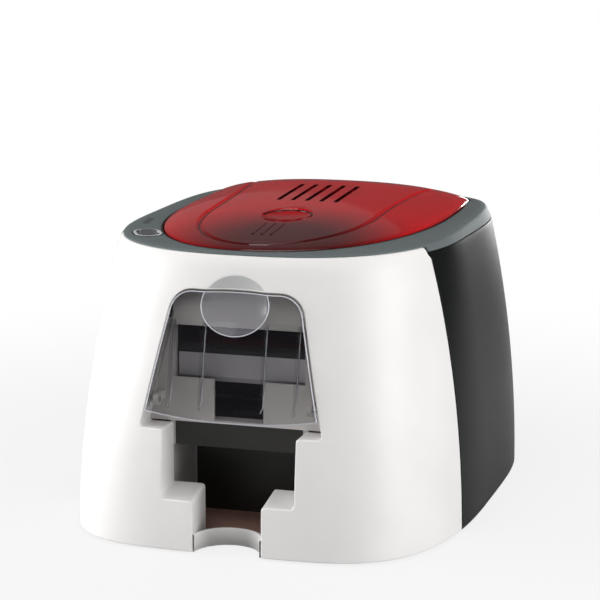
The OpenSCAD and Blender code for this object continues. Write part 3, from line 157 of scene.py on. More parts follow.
def lid_dome(x, y):
    climb = DOME_LOW + (1 - DOME_LOW) * np.clip((y - LID_FRONT - DOME_START) / DOME_RUN, 0, 1)
    share = np.clip(np.abs(x) / np.maximum(lid_half_w(y), 0.5), 0, 1)
    return LID_Z + LID_RISE * climb * lid_length(y) * (1 - share ** DOME_CROWN) ** DOME_EDGE


def lid_outline(inset, count=120):
    """Outline of the lid seen from above, counter-clockwise."""
    t = np.linspace(0, np.pi, count)
    low, high = LID_FRONT + inset, LID_REAR - inset
    y = (low + high) / 2 - (high - low) / 2 * np.cos(t)
    x = lid_half_w(y, inset)
    x[0] = 0.0
    right = np.stack([x, y], 1)
    left = right[::-1] * [-1, 1]
    return tidy_loop(np.concatenate([right, left]))


# ---- Loops in the plane; the material lies to the left of their travel ----
def tidy_loop(loop, least=0.05):
    keep = np.linalg.norm(loop - np.roll(loop, 1, 0), axis=1) > least
    return loop[keep]


def resampled(loop, step):
    """The loop with long edges divided."""
    out = []
    for a, b in zip(loop, np.roll(loop, -1, 0)):
        n = max(1, int(np.ceil(np.linalg.norm(b - a) / step)))
        out += [a + (b - a) * i / n for i in range(n)]
    return np.array(out)


def rounded(corners, steps=6):
    """A closed outline from corners (x, y, radius)."""
    points = np.array([c[:2] for c in corners], float)
    out = []
    for i, (_, _, r) in enumerate(corners):
        p = points[i]
        a = points[i - 1] - p
        b = points[(i + 1) % len(points)] - p
        a, b = a / np.linalg.norm(a), b / np.linalg.norm(b)
        if r <= 0:
            out.append(p)
            continue
        half = math.acos(float(np.clip(a @ b, -1, 1))) / 2
        reach = r / math.tan(half)
        centre = p + (a + b) / np.linalg.norm(a + b) * r / math.sin(half)
        start, end = p + a * reach - centre, p + b * reach - centre
        turn = math.atan2(start[0] * end[1] - start[1] * end[0], start @ end)
        for k in range(steps + 1):
            w = turn * k / steps
            spin = np.array([[math.cos(w), -math.sin(w)], [math.sin(w), math.cos(w)]])
            out.append(centre + spin @ start)
    return np.array(out)


def circle(x, y, r, count=32):
    """A round hole, clockwise."""
    t = -np.linspace(0, 2 * np.pi, count, endpoint=False)
    return np.stack([x + r * np.cos(t), y + r * np.sin(t)], 1)


def left_normals(loop):
    """Unit directions into the material, and how far a corner moves for a unit of offset."""
    ahead = np.roll(loop, -1, 0) - loop
    back = loop - np.roll(loop, 1, 0)
    ahead = ahead / np.linalg.norm(ahead, axis=1, keepdims=True)
    back = back / np.linalg.norm(back, axis=1, keepdims=True)
    mean = ahead + back
    mean = mean / np.maximum(np.linalg.norm(mean, axis=1, keepdims=True), 1e-9)
    normal = np.stack([-mean[:, 1], mean[:, 0]], 1)
    stretch = 1 / np.clip((mean * ahead).sum(1), 0.5, 1)
    return normal, stretch


def directions(loop):
    """Unit directions into the material."""
    return left_normals(loop)[0]


def offsets(loop):
    """How far each point moves when the loop moves a unit into the material."""
    normal, stretch = left_normals(loop)
    return normal * stretch[:, None]


def even_loop(loop, step):
    """The loop with points at an even spacing."""
    closed = np.concatenate([loop, loop[:1]])
    run = np.concatenate([[0], np.cumsum(np.linalg.norm(np.diff(closed, axis=0), axis=1))])
    at = np.linspace(0, run[-1], int(run[-1] / step), endpoint=False)
    return np.stack([np.interp(at, run, closed[:, i]) for i in (0, 1)], 1)


def inside(points, loops):
    odd = np.zeros(len(points), bool)
    x, y = points[:, 0], points[:, 1]
    for loop in loops:
        for (x0, y0), (x1, y1) in zip(loop, np.roll(loop, -1, 0)):
            if y0 != y1:
                odd ^= ((y0 > y) != (y1 > y)) & (x < (x1 - x0) * (y - y0) / (y1 - y0) + x0)
    return odd


def far_from(points, others, gap):
    if not len(points):
        return points
    keep = np.ones(len(points), bool)
    for i in range(0, len(points), 500):
        part = points[i:i + 500]
        d = np.linalg.norm(part[:, None] - others[None], axis=2).min(1)
        keep[i:i + 500] = d > gap
    return points[keep]


def triangulate(loops, points, gap):
    """Triangles that fill the loops, through the given inner points."""
    rim = np.concatenate(loops)
    inner = far_from(points[inside(points, loops)], rim, gap)
    edges, at = [], 0
    for loop in loops:
        n = len(loop)
        edges += [(at + i, at + (i + 1) % n) for i in range(n)]
        at += n
    everything = np.concatenate([rim, inner])
    found = delaunay_2d_cdt([Vector(p) for p in everything], edges, [], 0, 1e-6)
    co = np.array([tuple(v) for v in found[0]])
    faces = np.array([f for f in found[2] if len(f) == 3])
    middle = co[faces].mean(1)
    return co, faces[inside(middle, loops)]


def grid(low, high, step):
    """Staggered grid of points."""
    xs = np.arange(low[0], high[0] + step[0], step[0])
    ys = np.arange(low[1], high[1] + step[1], step[1])
    x, y = np.meshgrid(xs, ys)
    x = x + (np.arange(len(ys)) % 2)[:, None] * step[0] / 2
    return np.stack([x.ravel(), y.ravel()], 1)


# ---- Meshes with their own normals ----
def put_in_scene(name, data):
    obj = bpy.data.objects.new(name, data)
    bpy.context.scene.collection.objects.link(obj)
    return obj


def unit(v):
    return v / np.maximum(np.linalg.norm(v, axis=-1, keepdims=True), 1e-12)


class Piece:
    """Gathers vertices, normals and faces, in millimetres, and makes one object of them."""

    def __init__(self, name):
        self.name = name
        self.co, self.no, self.faces = [], [], []

    def add(self, co, no, faces):
        start = len(self.co)
        co, no = np.asarray(co, float), np.asarray(no, float)
        for f in faces:
            f = list(f)
            flat = np.cross(co[f[1]] - co[f[0]], co[f[2]] - co[f[0]])
            if len(f) > 3:
                flat = flat + np.cross(co[f[2]] - co[f[0]], co[f[3]] - co[f[0]])
            if flat @ no[f].sum(0) < 0:
                f.reverse()
            self.faces.append([start + i for i in f])
        self.co.extend(co)
        self.no.extend(no)

    def strip(self, rows, closed=True):
        """Quads between rows of points; each row is (points, normals)."""
        n = len(rows[0][0])
        last = n if closed else n - 1
        faces = []
        for j in range(len(rows) - 1):
            for i in range(last):
                k = (i + 1) % n
                faces.append((j * n + i, j * n + k, (j + 1) * n + k, (j + 1) * n + i))
        self.add(np.concatenate([r[0] for r in rows]), np.concatenate([r[1] for r in rows]), faces)

    def build(self, material, body, nodes=()):
        mesh = bpy.data.meshes.new(self.name)
        mesh.from_pydata((np.array(self.co) * MM).tolist(), [], self.faces)
        mesh.shade_smooth()
        mesh.normals_split_custom_set_from_vertices(unit(np.array(self.no)).tolist())
        mesh.materials.append(material)
        obj = put_in_scene(self.name, mesh)
        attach(obj, body)
        for node in nodes:
            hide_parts(node)
        return obj


def normals_of(place, uv, inset, step=0.03):
    du, dv = np.array([step, 0.0]), np.array([0.0, step])
    along = place(uv + du, inset) - place(uv - du, inset)
    up = place(uv + dv, inset) - place(uv - dv, inset)
    return unit(np.cross(along, up))


def shell(piece, loops, place, thick, points, gap, edge=0.6, sign=1, turns=3, depths=None):
    """A sheet that follows place(uv, inset), with rounded edges along its loops.
    sign turns the surface's normal outwards. depths gives each loop a wall deeper than the sheet."""
    uv, faces = triangulate([loop + offsets(loop) * edge for loop in loops], points, gap)
    normal = sign * normals_of(place, uv, 0.0)
    piece.add(place(uv, 0.0), normal, faces)
    piece.add(place(uv, thick), -normal, faces)
    for i, loop in enumerate(loops):
        into = offsets(loop)
        depth = thick if depths is None else depths[i]
        rows = []
        for k in range(turns + 1):
            w = math.pi / 2 * k / turns
            at = loop + into * edge * (1 - math.sin(w))
            rows.append((place(at, edge * (1 - math.cos(w))), border_normals(place, at, into, sign, w)))
        side = rows[-1][1]
        rows.append((place(loop, depth - 0.01), side))
        piece.strip(rows)
        under = -sign * normals_of(place, loop, 0.0)
        foot = (place(loop + into * edge, depth), under)
        piece.strip([(place(loop, depth), under), foot])
        if depths is not None:
            inner = loop + into * BEZEL_WALL
            piece.strip([(place(inner, depth), -side), (place(inner, thick), -side)])
            piece.strip([foot, (place(inner, depth), under)])


def border_normals(place, uv, into, sign, turn):
    """Normals that turn from the surface's own to straight out over the border."""
    face = sign * normals_of(place, uv, 0.0)
    out = unit(place(uv - into * 0.05, 0.0) - place(uv, 0.0))
    return unit(face * math.cos(turn) + out * math.sin(turn))


def flat_place(top):
    def place(uv, inset):
        return np.stack([uv[:, 0], uv[:, 1], np.full(len(uv), top) - inset], 1)
    return place


def slab(piece, loops, low, high, edge=0.4):
    """A flat plate between two heights."""
    shell(piece, loops, flat_place(high), high - low, np.zeros((1, 2)) + 1e6, 1.0, edge)


# ---- Materials ----
def fill(tree, node, inputs):
    """Gives a node's inputs a value each, or a link where the value is another node's socket."""
    for key, value in inputs.items():
        if isinstance(value, bpy.types.NodeSocket):
            tree.links.new(value, node.inputs[key])
        else:
            node.inputs[key].default_value = value


def add(tree, kind, inputs=None, **settings):
    """A new shader node with its settings and inputs."""
    node = tree.nodes.new("ShaderNode" + kind)
    for key, value in settings.items():
        setattr(node, key, value)
    fill(tree, node, inputs or {})
    return node


def new_material(name):
    material = bpy.data.materials.new(name)
    material.use_nodes = True
    tree = material.node_tree
    tree.nodes.clear()
    shader = add(tree, "BsdfPrincipled")
    add(tree, "OutputMaterial", {"Surface": shader.outputs["BSDF"]})
    return material, tree, shader


def object_place(tree):
    return add(tree, "TexCoord").outputs["Object"]


def noise(tree, scale, detail=2.0, stretch=(1, 1, 1)):
    mapping = add(tree, "Mapping", {"Vector": object_place(tree), "Scale": stretch})
    inputs = {"Vector": mapping.outputs["Vector"], "Scale": scale, "Detail": detail}
    return add(tree, "TexNoise", inputs).outputs["Fac"]


NOISE_LOW, NOISE_HIGH = 0.3, 0.7


def ranged(tree, value, start, end, low, high, kind="LINEAR"):
    """Maps start to end onto low to high."""
    inputs = {"Value": value, "From Min": start, "From Max": end, "To Min": low, "To Max": high}
    return add(tree, "MapRange", inputs, interpolation_type=kind).outputs["Result"]


def spread(tree, source, low, high):
    """Maps a noise to a range of numbers."""
    return ranged(tree, source, NOISE_LOW, NOISE_HIGH, low, high)


def tinted(tree, source, color, change):
    """Colour that varies a little round its mean."""
    ramp = add(tree, "ValToRGB", {"Fac": source})
    stops = ((NOISE_LOW, 1 - change), (NOISE_HIGH, 1 + change))
    for element, (place, share) in zip(ramp.color_ramp.elements, stops):
        element.position = place
        element.color = [min(1, c * share) for c in color] + [1]
    return ramp.outputs["Color"]


def relief(tree, source, strength, depth):
    inputs = {"Height": source, "Strength": strength, "Distance": depth}
    return add(tree, "Bump", inputs).outputs["Normal"]


def blend(tree, share, first, second):
    inputs = {"Factor": share, "A": first, "B": second}
    return add(tree, "Mix", inputs, data_type="RGBA").outputs["Result"]


def moulded(name, color, rough, grain=1400, bump=0.04, change=0.02, spec=0.5, coat=0.0, alpha=1.0):
    """Plastic or rubber with a fine moulded grain."""
    material, tree, shader = new_material(name)
    fine = noise(tree, grain)
    fill(tree, shader, {
        "Base Color": tinted(tree, noise(tree, 25), color, change),
        "Roughness": spread(tree, fine, rough * 0.88, rough * 1.12),
        "Normal": relief(tree, fine, bump, 0.0002),
        "Specular IOR Level": spec,
        "Coat Weight": coat,
        "Coat Roughness": 0.08,
        "Alpha": alpha})
    return material


def metal(name, color, rough, stretch=(1, 1, 1), change=0.06):
    """Metal with fine marks along the direction in which stretch is small."""
    material, tree, shader = new_material(name)
    marks = noise(tree, 600, 4, stretch)
    fill(tree, shader, {
        "Base Color": tinted(tree, marks, color, change),
        "Roughness": spread(tree, marks, rough * 0.75, rough * 1.3),
        "Normal": relief(tree, marks, 0.05, 0.0001),
        "Metallic": 1.0})
    return material


def zone(tree, base, color, axis, mark, beyond, both_sides):
    """Mixes another colour in beyond a plane of the object, given in millimetres."""
    value = add(tree, "SeparateXYZ", {0: object_place(tree)}).outputs[axis]
    if both_sides:
        value = add(tree, "Math", {0: value}, operation="ABSOLUTE").outputs[0]
    test = "GREATER_THAN" if beyond else "LESS_THAN"
    share = add(tree, "Math", {0: value, 1: mark * MM}, operation=test).outputs[0]
    return blend(tree, share, base, (*color, 1))


def zoned(name, color, rough, zones):
    """Moulded plastic with parts in other colours, which paint light and shade."""
    material = moulded(name, color, rough)
    tree = material.node_tree
    target = tree.nodes["Principled BSDF"].inputs["Base Color"]
    base = target.links[0].from_socket
    for part in zones:
        base = zone(tree, base, *part)
    tree.links.new(base, target)
    return material


# The second, dark red is painted shade on the lid, mixed in round the point on the next line and gone beyond
# its far distance.
RED, RED_PAINTED_SHADE = (0.8, 0.007, 0.013), (0.12, 0.003, 0.005, 1)
LID_SHADE_PLACE, LID_SHADE_NEAR, LID_SHADE_FAR = (0.02, -0.1, 0.2), 0.025, 0.11


def red_plastic(name):
    """Translucent red with painted shade: darkest round a point near the lid's front, fading to the plain
    red.
    """
    material, tree, shader = new_material(name)
    wide = noise(tree, 18)
    away = add(tree, "VectorMath", {0: object_place(tree), 1: LID_SHADE_PLACE}, operation="DISTANCE")
    share = ranged(tree, away.outputs["Value"], LID_SHADE_NEAR, LID_SHADE_FAR, 0.0, 1.0, "SMOOTHSTEP")
    rough = 0.06
    fill(tree, shader, {
        "Base Color": blend(tree, share, RED_PAINTED_SHADE, tinted(tree, wide, RED, 0.03)),
        "Roughness": spread(tree, wide, rough * 0.8, rough * 1.2),
        "Normal": relief(tree, noise(tree, 500), 0.01, 0.0001),
        "Transmission Weight": 0.5,
        "IOR": 1.49})
    return material


PLASTICS = {
    "white_shell": ((0.8, 0.785, 0.775), 0.4, dict(spec=0.25)),
    # Painted shade in the thumb scoop's hollow in the casing.
    "scoop_painted_shade": ((0.52, 0.52, 0.525), 0.35, dict(spec=0.3)),
    "charcoal_shell": ((0.005, 0.0055, 0.0055), 0.3, dict(bump=0.08, spec=0.12)),
    "slate_trim": ((0.125, 0.145, 0.147), 0.5, dict(bump=0.06, spec=0.2)),
    "smoke_clear": ((0.02, 0.02, 0.024), 0.05, dict(grain=60, bump=0.02, spec=0.4, alpha=0.2)),
    # Painted shade in the thumb scoop's hollow in the flap.
    "bowl_painted_shade": ((0.3, 0.3, 0.33), 0.2, dict(grain=60, bump=0.02, spec=0.5, alpha=0.35)),
    # Dark red painted on the lid as shade: in the slots, along the groove and on the skirt in the gap. It is
    # also painted shadow at the dish's rim.
    "red_painted_shade": ((0.05, 0.003, 0.004), 0.25, dict(grain=400)),
    # Pale painted highlight for the edges of the clear flap.
    "flap_painted_highlight": ((0.62, 0.63, 0.68), 0.25, dict(coat=0.4)),
    "pale_inner": ((0.5, 0.48, 0.46), 0.5, {}),
    "black_inner": ((0.016, 0.016, 0.015), 0.5, {}),
    "base_plastic": ((0.05, 0.045, 0.042), 0.55, {}),
    "foot_rubber": ((0.02, 0.02, 0.02), 0.8, dict(grain=700, bump=0.2)),
    "roller_rubber": ((0.03, 0.03, 0.032), 0.7, dict(grain=900, bump=0.15)),
    "clean_rubber": ((0.35, 0.5, 0.6), 0.3, dict(grain=600)),
    "belt_rubber": ((0.015, 0.015, 0.015), 0.75, dict(grain=500, bump=0.2)),
    "motor_case": ((0.03, 0.03, 0.034), 0.4, dict(grain=300, bump=0.1)),
    "gear_plastic": ((0.62, 0.58, 0.47), 0.45, {}),
    "bush_plastic": ((0.5, 0.48, 0.4), 0.5, {}),
    "board_green": ((0.012, 0.11, 0.045), 0.35, dict(grain=200, bump=0.1, change=0.2)),
    "lens_dark": ((0.02, 0.02, 0.022), 0.12, dict(bump=0.0, coat=0.5)),
    "ribbon_dye": ((0.15, 0.012, 0.06), 0.2, dict(grain=80, coat=0.4)),
    "core_plastic": ((0.6, 0.6, 0.56), 0.45, {}),
    "ring_white": ((0.75, 0.76, 0.78), 0.22, dict(coat=0.5)),
}
METALS = {
    "sheet_steel": ((0.5, 0.51, 0.53), 0.38, dict(stretch=(1, 1, 0.08))),
    "shaft_steel": ((0.62, 0.62, 0.64), 0.2, dict(stretch=(8, 1, 1))),
    "spring_steel": ((0.45, 0.45, 0.47), 0.3, {}),
    "ring_chrome": ((0.72, 0.73, 0.75), 0.12, dict(change=0.02)),
    "pinion_brass": ((0.62, 0.42, 0.16), 0.3, {}),
    "port_steel": ((0.55, 0.56, 0.58), 0.3, {}),
    "head_alloy": ((0.55, 0.56, 0.57), 0.35, dict(stretch=(1, 0.1, 1))),
}
MATERIALS = {name: moulded(name, *row[:2], **row[2]) for name, row in PLASTICS.items()}
MATERIALS.update((name, metal(name, *row[:2], **row[2])) for name, row in METALS.items())
MATERIALS["red_cover"] = red_plastic("red_cover")

# Painted shade: the press is near black above this height, 6 mm under its top.
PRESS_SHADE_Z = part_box("card_press")[1][2] / MM - 6
# Painted shade: the hopper is near black behind its front plate.
HOPPER_PAINTED_SHADE = [((0.012, 0.012, 0.012), "Y", -131.0, True, False)]
PRESS_PAINTED_SHADE = [((0.01, 0.01, 0.01), "Z", PRESS_SHADE_Z, True, False)]
# Painted light in the bin: grey on its side walls and brown-grey on its floor.
BIN_PAINTED_LIGHT = [((0.4, 0.4, 0.39), "X", 44.0, True, True), ((0.3, 0.17, 0.14), "Z", 10.5, False, False)]
NODE_MATERIALS = {
    "button_ring": MATERIALS["ring_white"],
    "card_hopper": zoned("hopper_plastic_painted_shade", (0.6, 0.57, 0.56), 0.5, HOPPER_PAINTED_SHADE),
    "card_press": zoned("press_plastic_painted_shade", (0.5, 0.48, 0.5), 0.5, PRESS_PAINTED_SHADE),
    "output_bin": zoned("bin_plastic_painted_light", (0.016, 0.015, 0.013), 0.45, BIN_PAINTED_LIGHT),
}


# ---- Front casing ----
FRONT_SPAN, CASING_EDGE, CASING_CORNER = 207.0, 0.9, 4.5
SCOOP_RINGS = (0.86, 0.9, 0.94, 0.97, 1.0, 1.03, 1.06, 1.1, 1.15)
scoop_place = upright(lambda x, z, inset: front_y(x, z) + scoop_depth(x, z) + inset)


def front_place(uv, inset):
    z = uv[:, 1]
    share = np.sin(np.clip(uv[:, 0] / FRONT_SPAN, -1, 1) * np.pi / 2)
    x = (half_w(z) - inset) * share
    y = -(front_reach(z) - inset) * (1 - np.abs(share) ** front_square(z)) ** (1 / FRONT_ROUND)
    return np.stack([x, y + scoop_depth(x, z), z], 1)


def front_u(x, z):
    return FRONT_SPAN * 2 / np.pi * np.arcsin(np.clip(x / half_w(z), -1, 1))


def seam_u(z):
    y = SEAM_Y - SEAM_GAP / 2
    share = (1 - (np.abs(y) / front_reach(z)) ** FRONT_ROUND) ** (1 / front_square(z))
    return FRONT_SPAN * 2 / np.pi * np.arcsin(share)


def opening_outline():
    """The front opening from the notch's left foot to its right foot, as (x, z)."""
    foot = FLAP_HALF + FLAP_GAP + (FLAP_Z - LEDGE_Z) * FLAP_LEAN
    top = FLAP_TOP + FLAP_GAP
    high = FLAP_HALF + FLAP_GAP - (top - FLAP_Z) * FLAP_LEAN
    left = [
        (-NOTCH_HALF, SKIRT_Z - 60, 0),
        (-NOTCH_HALF, BIN_LEDGE_Z, 2.5),
        (-BIN_HALF, BIN_LEDGE_Z, 2.5),
        (-BIN_HALF, LEDGE_Z, 1.6),
        (-foot, LEDGE_Z, 2.0),
        (-high, top, SHOULDER_R + FLAP_GAP),
    ]
    right = [(-x, z, r) for x, z, r in reversed(left)]
    loop = resampled(rounded(left + right, 8), 1.5)
    loop = loop[loop[:, 1] > SKIRT_Z]
    foot_z = np.where(np.abs(loop[:, 0] + NOTCH_HALF) < 0.1, loop[:, 1], RIM_Z)
    return np.roll(loop, -int(np.argmin(foot_z)), 0)


def casing_edge():
    """Outer edge of the casing as (u, z), from the notch's right foot round to its left foot."""
    notch = float(front_u(NOTCH_HALF, SKIRT_Z))
    foot = [(u, SKIRT_Z) for u in np.arange(notch + 3, seam_u(SKIRT_Z) - 1, 3)]
    seam = [(float(seam_u(z)), z) for z in np.arange(SKIRT_Z, RIM_Z - 5, 2.5)]
    r = CASING_CORNER
    turn = [
        (float(seam_u(RIM_Z)) - r * (1 - math.cos(w)), RIM_Z - r * (1 - math.sin(w)))
        for w in np.linspace(0, math.pi / 2, 7)
    ]
    top = [(u, RIM_Z) for u in np.arange(turn[-1][0] - 2.5, 0, -2.5)]
    right = np.array([(notch, SKIRT_Z)] + foot + seam + turn + top)
    return np.concatenate([right, right[::-1] * [-1, 1]])


def casing_points():
    """Inner points of the casing as (u, z), closer together at the rim and round the scoop."""
    step = 3.6
    points = grid((-FRONT_SPAN, 0), (FRONT_SPAN, RIM_Z), (step, step))
    points = points[points[:, 1] < RIM_Z - EDGE_R - 2]
    points = points[np.hypot(points[:, 0], points[:, 1] - SCOOP_Z) > 27]
    band = grid((-FRONT_SPAN, RIM_Z - EDGE_R - 1), (FRONT_SPAN, RIM_Z), (step, 1.2))
    band = band[np.hypot(band[:, 0], band[:, 1] - SCOOP_Z) > 26]
    rings = [scoop_ring(share, 0, np.pi, 60) for share in SCOOP_RINGS]
    dish = grid((-18, 170), (18, 186), (2, 2))
    dish = dish[scoop_depth(dish[:, 0], dish[:, 1]) > 1.4]
    dish = np.concatenate(rings + [dish])
    dish_uv = np.stack([front_u(dish[:, 0], dish[:, 1]), dish[:, 1]], 1)
    return np.concatenate([points, band, dish_uv])


class CasingBorder:
    """Border of the front casing: the opening, whose walls run straight back, and the outer edge."""

    def __init__(self):
        hole, edge = opening_outline(), casing_edge()
        hole_uv = np.stack([front_u(hole[:, 0], hole[:, 1]), hole[:, 1]], 1)
        self.uv = np.concatenate([hole_uv, edge])
        self.flat = np.concatenate([hole, edge])
        self.is_hole = (np.arange(len(self.flat)) < len(hole))[:, None]
        self.into_uv, self.into_flat = offsets(self.uv), offsets(self.flat)

    def at(self, offset):
        """The border moved into the material, as (u, z)."""
        moved = self.flat + self.into_flat * offset
        hole_uv = np.stack([front_u(moved[:, 0], moved[:, 1]), moved[:, 1]], 1)
        return np.where(self.is_hole, hole_uv, self.uv + self.into_uv * offset)

    def points(self, offset, depth, end=None):
        """The moved border at a depth, or with the opening's walls run back to the plane y = end."""
        uv = self.at(offset)
        walls = front_place(uv, 0.0)
        if end is None:
            walls[:, 1] += depth
        else:
            walls[:, 1] = np.maximum(end, walls[:, 1] + WALL)
            walls[:, 2] = self.raised(walls[:, 2])
        return np.where(self.is_hole, walls, front_place(uv, depth))

    def raised(self, z):
        """Lifts the far end of the bin ledges, which climb rearwards."""
        side, low = np.abs(self.flat[:, 0]), self.flat[:, 1]
        turn_end = NOTCH_HALF + 2.6
        on_ledge = (side > turn_end) & (low < BIN_LEDGE_Z + LEDGE_RISE)
        z = np.where(on_ledge, np.maximum(z, BIN_LEDGE_Z + LEDGE_RISE), z)
        on_turn = (side > NOTCH_HALF + 0.01) & (side <= turn_end) & (low < BIN_LEDGE_Z + 1)
        return np.where(on_turn, z + LEDGE_RISE, z)

    def rounding(self):
        """Rows of points and normals over the rounded edge and down the walls."""
        out = np.stack([-self.into_flat[:, 0], np.zeros(len(self.flat)), -self.into_flat[:, 1]], 1)
        rows = []
        for k in range(4):
            w = math.pi / 2 * k / 3
            inset, depth = CASING_EDGE * (1 - math.sin(w)), CASING_EDGE * (1 - math.cos(w))
            uv = self.at(inset)
            face = normals_of(front_place, uv, 0.0)
            over = unit(front_place(uv - self.into_uv * 0.05, 0.0) - front_place(uv, 0.0))
            over = np.where(self.is_hole, unit(out), over)
            rows.append((self.points(inset, depth), unit(face * math.cos(w) + over * math.sin(w))))
        return rows + [(self.points(0.0, WALL, TUNNEL_Y), rows[-1][1])]


def make_front_casing():
    piece = Piece("casing_front")
    border = CasingBorder()
    uv, faces = triangulate([border.at(CASING_EDGE)], casing_points(), 0.5)
    normal = normals_of(front_place, uv, 0.0)
    piece.add(front_place(uv, 0.0), normal, faces)
    piece.add(front_place(uv, WALL), -normal, faces)
    rows = border.rounding()
    piece.strip(rows)
    end, side = rows[-1]
    facing = np.where(border.is_hole, [[0, 1, 0]], -normals_of(front_place, border.uv, 0.0))
    wide = border.points(RETURN_WALL, WALL, TUNNEL_Y)
    piece.strip([(end, facing), (wide, facing)])
    piece.strip([(wide, -side), (border.points(RETURN_WALL, WALL), -side)])
    make_lip(piece)
    piece.build(MATERIALS["white_shell"], "printer", ["front_casing"])


def make_bowl(name, place, heights, rows, material, body):
    """A sheet of painted shade over half of the thumb scoop's bowl, between two heights, a hair in front of
    its sheet.
    """
    piece = Piece(name)
    loop = scoop_ring(0.97)[:-1]
    loop[:, 1] = np.clip(loop[:, 1], *heights)
    uv, faces = triangulate([tidy_loop(loop)], grid((-22, rows[0]), (22, rows[1]), (1.6, 1.6)), 0.8)
    piece.add(place(uv, -0.05), normals_of(place, uv, 0.0), faces)
    piece.build(MATERIALS[material], body)


def make_scoop_shade():
    """Painted shade: a greyer sheet over the thumb scoop's bowl above the flap."""
    heights = (FLAP_TOP + FLAP_GAP + 1.2, RIM_Z)
    make_bowl("casing_scoop_shade", scoop_place, heights, (170, 190), "scoop_painted_shade", "printer")


def make_lip(piece):
    """Concave lip across the finger notch."""
    low, high = NOTCH_HALF - RETURN_WALL / 2, NOTCH_HALF + RETURN_WALL / 2
    profile = rounded([(low, SKIRT_Z, 0), (high, SKIRT_Z, 0), (high, LIP_Z, 0.8), (low, LIP_Z, 0.8)], 5)
    into = directions(profile)
    rows = []
    for w in np.linspace(math.radians(3), math.radians(177), 41):
        c, s = math.cos(w), math.sin(w)
        co = np.stack([profile[:, 0] * c, profile[:, 0] * s - BODY_D / 2, profile[:, 1]], 1)
        no = np.stack([-into[:, 0] * c, -into[:, 0] * s, -into[:, 1]], 1)
        rows.append((co, no))
    piece.strip(rows)


# ---- Side and rear panels ----
SIDE_SPAN, SIDE_SPLIT, SIDE_EASE = 245.0, 0.286, 2.075
SOCKET_Z, JACK_X, JACK_R, PORT_X, PORT_HALF = 19.7, -58.0, 5.9, -30.0, (6.5, 6.0)
VENT_COUNT, VENT_PITCH, VENT_HALF, VENT_LOW, VENT_HIGH = 9, 12.0, 2.0, 60.0, 100.0
rear_place = upright(rear_y)


def side_place(mirror):
    """Surface of a side panel, from the seam round the rear corner. mirror is 1 or -1."""
    def place(uv, inset):
        share, z = uv[:, 0] / SIDE_SPAN, uv[:, 1]
        a, b = half_w(z) - inset, rear_reach(z) - inset
        y1 = (SEAM_Y + SEAM_GAP / 2) * (1 - share / SIDE_SPLIT)
        reach = np.abs(np.minimum(y1, 0)) / (front_reach(z) - inset)
        x1 = a * (1 - reach ** FRONT_ROUND) ** (1 / front_square(z))
        last = np.arccos(((REAR_HALF + SEAM_GAP / 2) / a) ** (REAR_SQUARE / 2))
        slow = np.clip((share - SIDE_SPLIT) / (1 - SIDE_SPLIT), 0, 1.02)
        ease = slow ** SIDE_EASE
        t = last * (0.25 * ease + 0.75 * ease * slow)
        x2 = a * np.cos(t) ** (2 / REAR_SQUARE)
        y2 = b * np.sin(t) ** (2 / REAR_ROUND)
        front = share < SIDE_SPLIT
        return np.stack([mirror * np.where(front, x1, x2), np.where(front, y1, y2), z], 1)
    return place


def border_line(place, s, shift):
    """Heights along s of a line just above or below the border with the bezel's shoulder."""
    z = np.full(len(s), RIM_Z - SHOULDER_REAR)
    for _ in range(4):
        z = border_z(place(np.stack([s, z], 1), 0.0)[:, 1]) + shift
    return z


def panel_loop(s, top, count):
    """Border of a panel between the skirt and a line of heights."""
    right = np.linspace(SKIRT_Z, top[-1], count)[1:-1]
    left = np.linspace(top[0], SKIRT_Z, count)[1:-1]
    return np.concatenate([
        np.stack([s, np.full(len(s), SKIRT_Z)], 1),
        np.stack([np.full(len(right), s[-1]), right], 1),
        np.stack([s, top], 1)[::-1],
        np.stack([np.full(len(left), s[0]), left], 1)])


def panel_points(low, high, step):
    """Inner points of a panel, closer together at the rim."""
    points = grid((low, 0), (high, RIM_Z), (step, 4.5))
    band = grid((low, RIM_Z - EDGE_R - 1), (high, RIM_Z), (step, 1.2))
    return np.concatenate([points[points[:, 1] < RIM_Z - EDGE_R - 3], band])


def make_side(mirror, name, node):
    place = side_place(mirror)
    piece = Piece(name)
    s = np.concatenate([np.arange(0, SIDE_SPAN, 2.5), [SIDE_SPAN]])
    loop = panel_loop(s, border_line(place, s, -SEAM_GAP / 2), 72)
    shell(piece, [loop], place, WALL, panel_points(0, SIDE_SPAN, 3.2), 0.6, 0.5, mirror)
    piece.build(MATERIALS["charcoal_shell"], "printer", [node])


def oblong(x, z, half_x, half_z, r, steps=6):
    """A rectangular hole with rounded corners, clockwise."""
    left, right, low, high = x - half_x, x + half_x, z - half_z, z + half_z
    return rounded([(left, low, r), (left, high, r), (right, high, r), (right, low, r)], steps)


def make_rear():
    piece = Piece("casing_rear")
    half = REAR_HALF - SEAM_GAP / 2
    x = np.linspace(-half, half, 68)
    loop = panel_loop(x, border_line(rear_place, x, -SEAM_GAP / 2), 74)
    holes = [circle(JACK_X, SOCKET_Z, JACK_R), resampled(oblong(PORT_X, SOCKET_Z, *PORT_HALF, 0.8), 2)]
    middle, tall = (VENT_LOW + VENT_HIGH) / 2, (VENT_HIGH - VENT_LOW) / 2
    for i in range(VENT_COUNT):
        x = (i - VENT_COUNT // 2) * VENT_PITCH
        holes.append(resampled(oblong(x, middle, VENT_HALF, tall, 1.9), 2.5))
    shell(piece, [loop] + holes, rear_place, WALL, panel_points(-half, half, 4.5), 1.0, 0.5, -1)
    piece.build(MATERIALS["charcoal_shell"], "printer", ["rear_panel"])


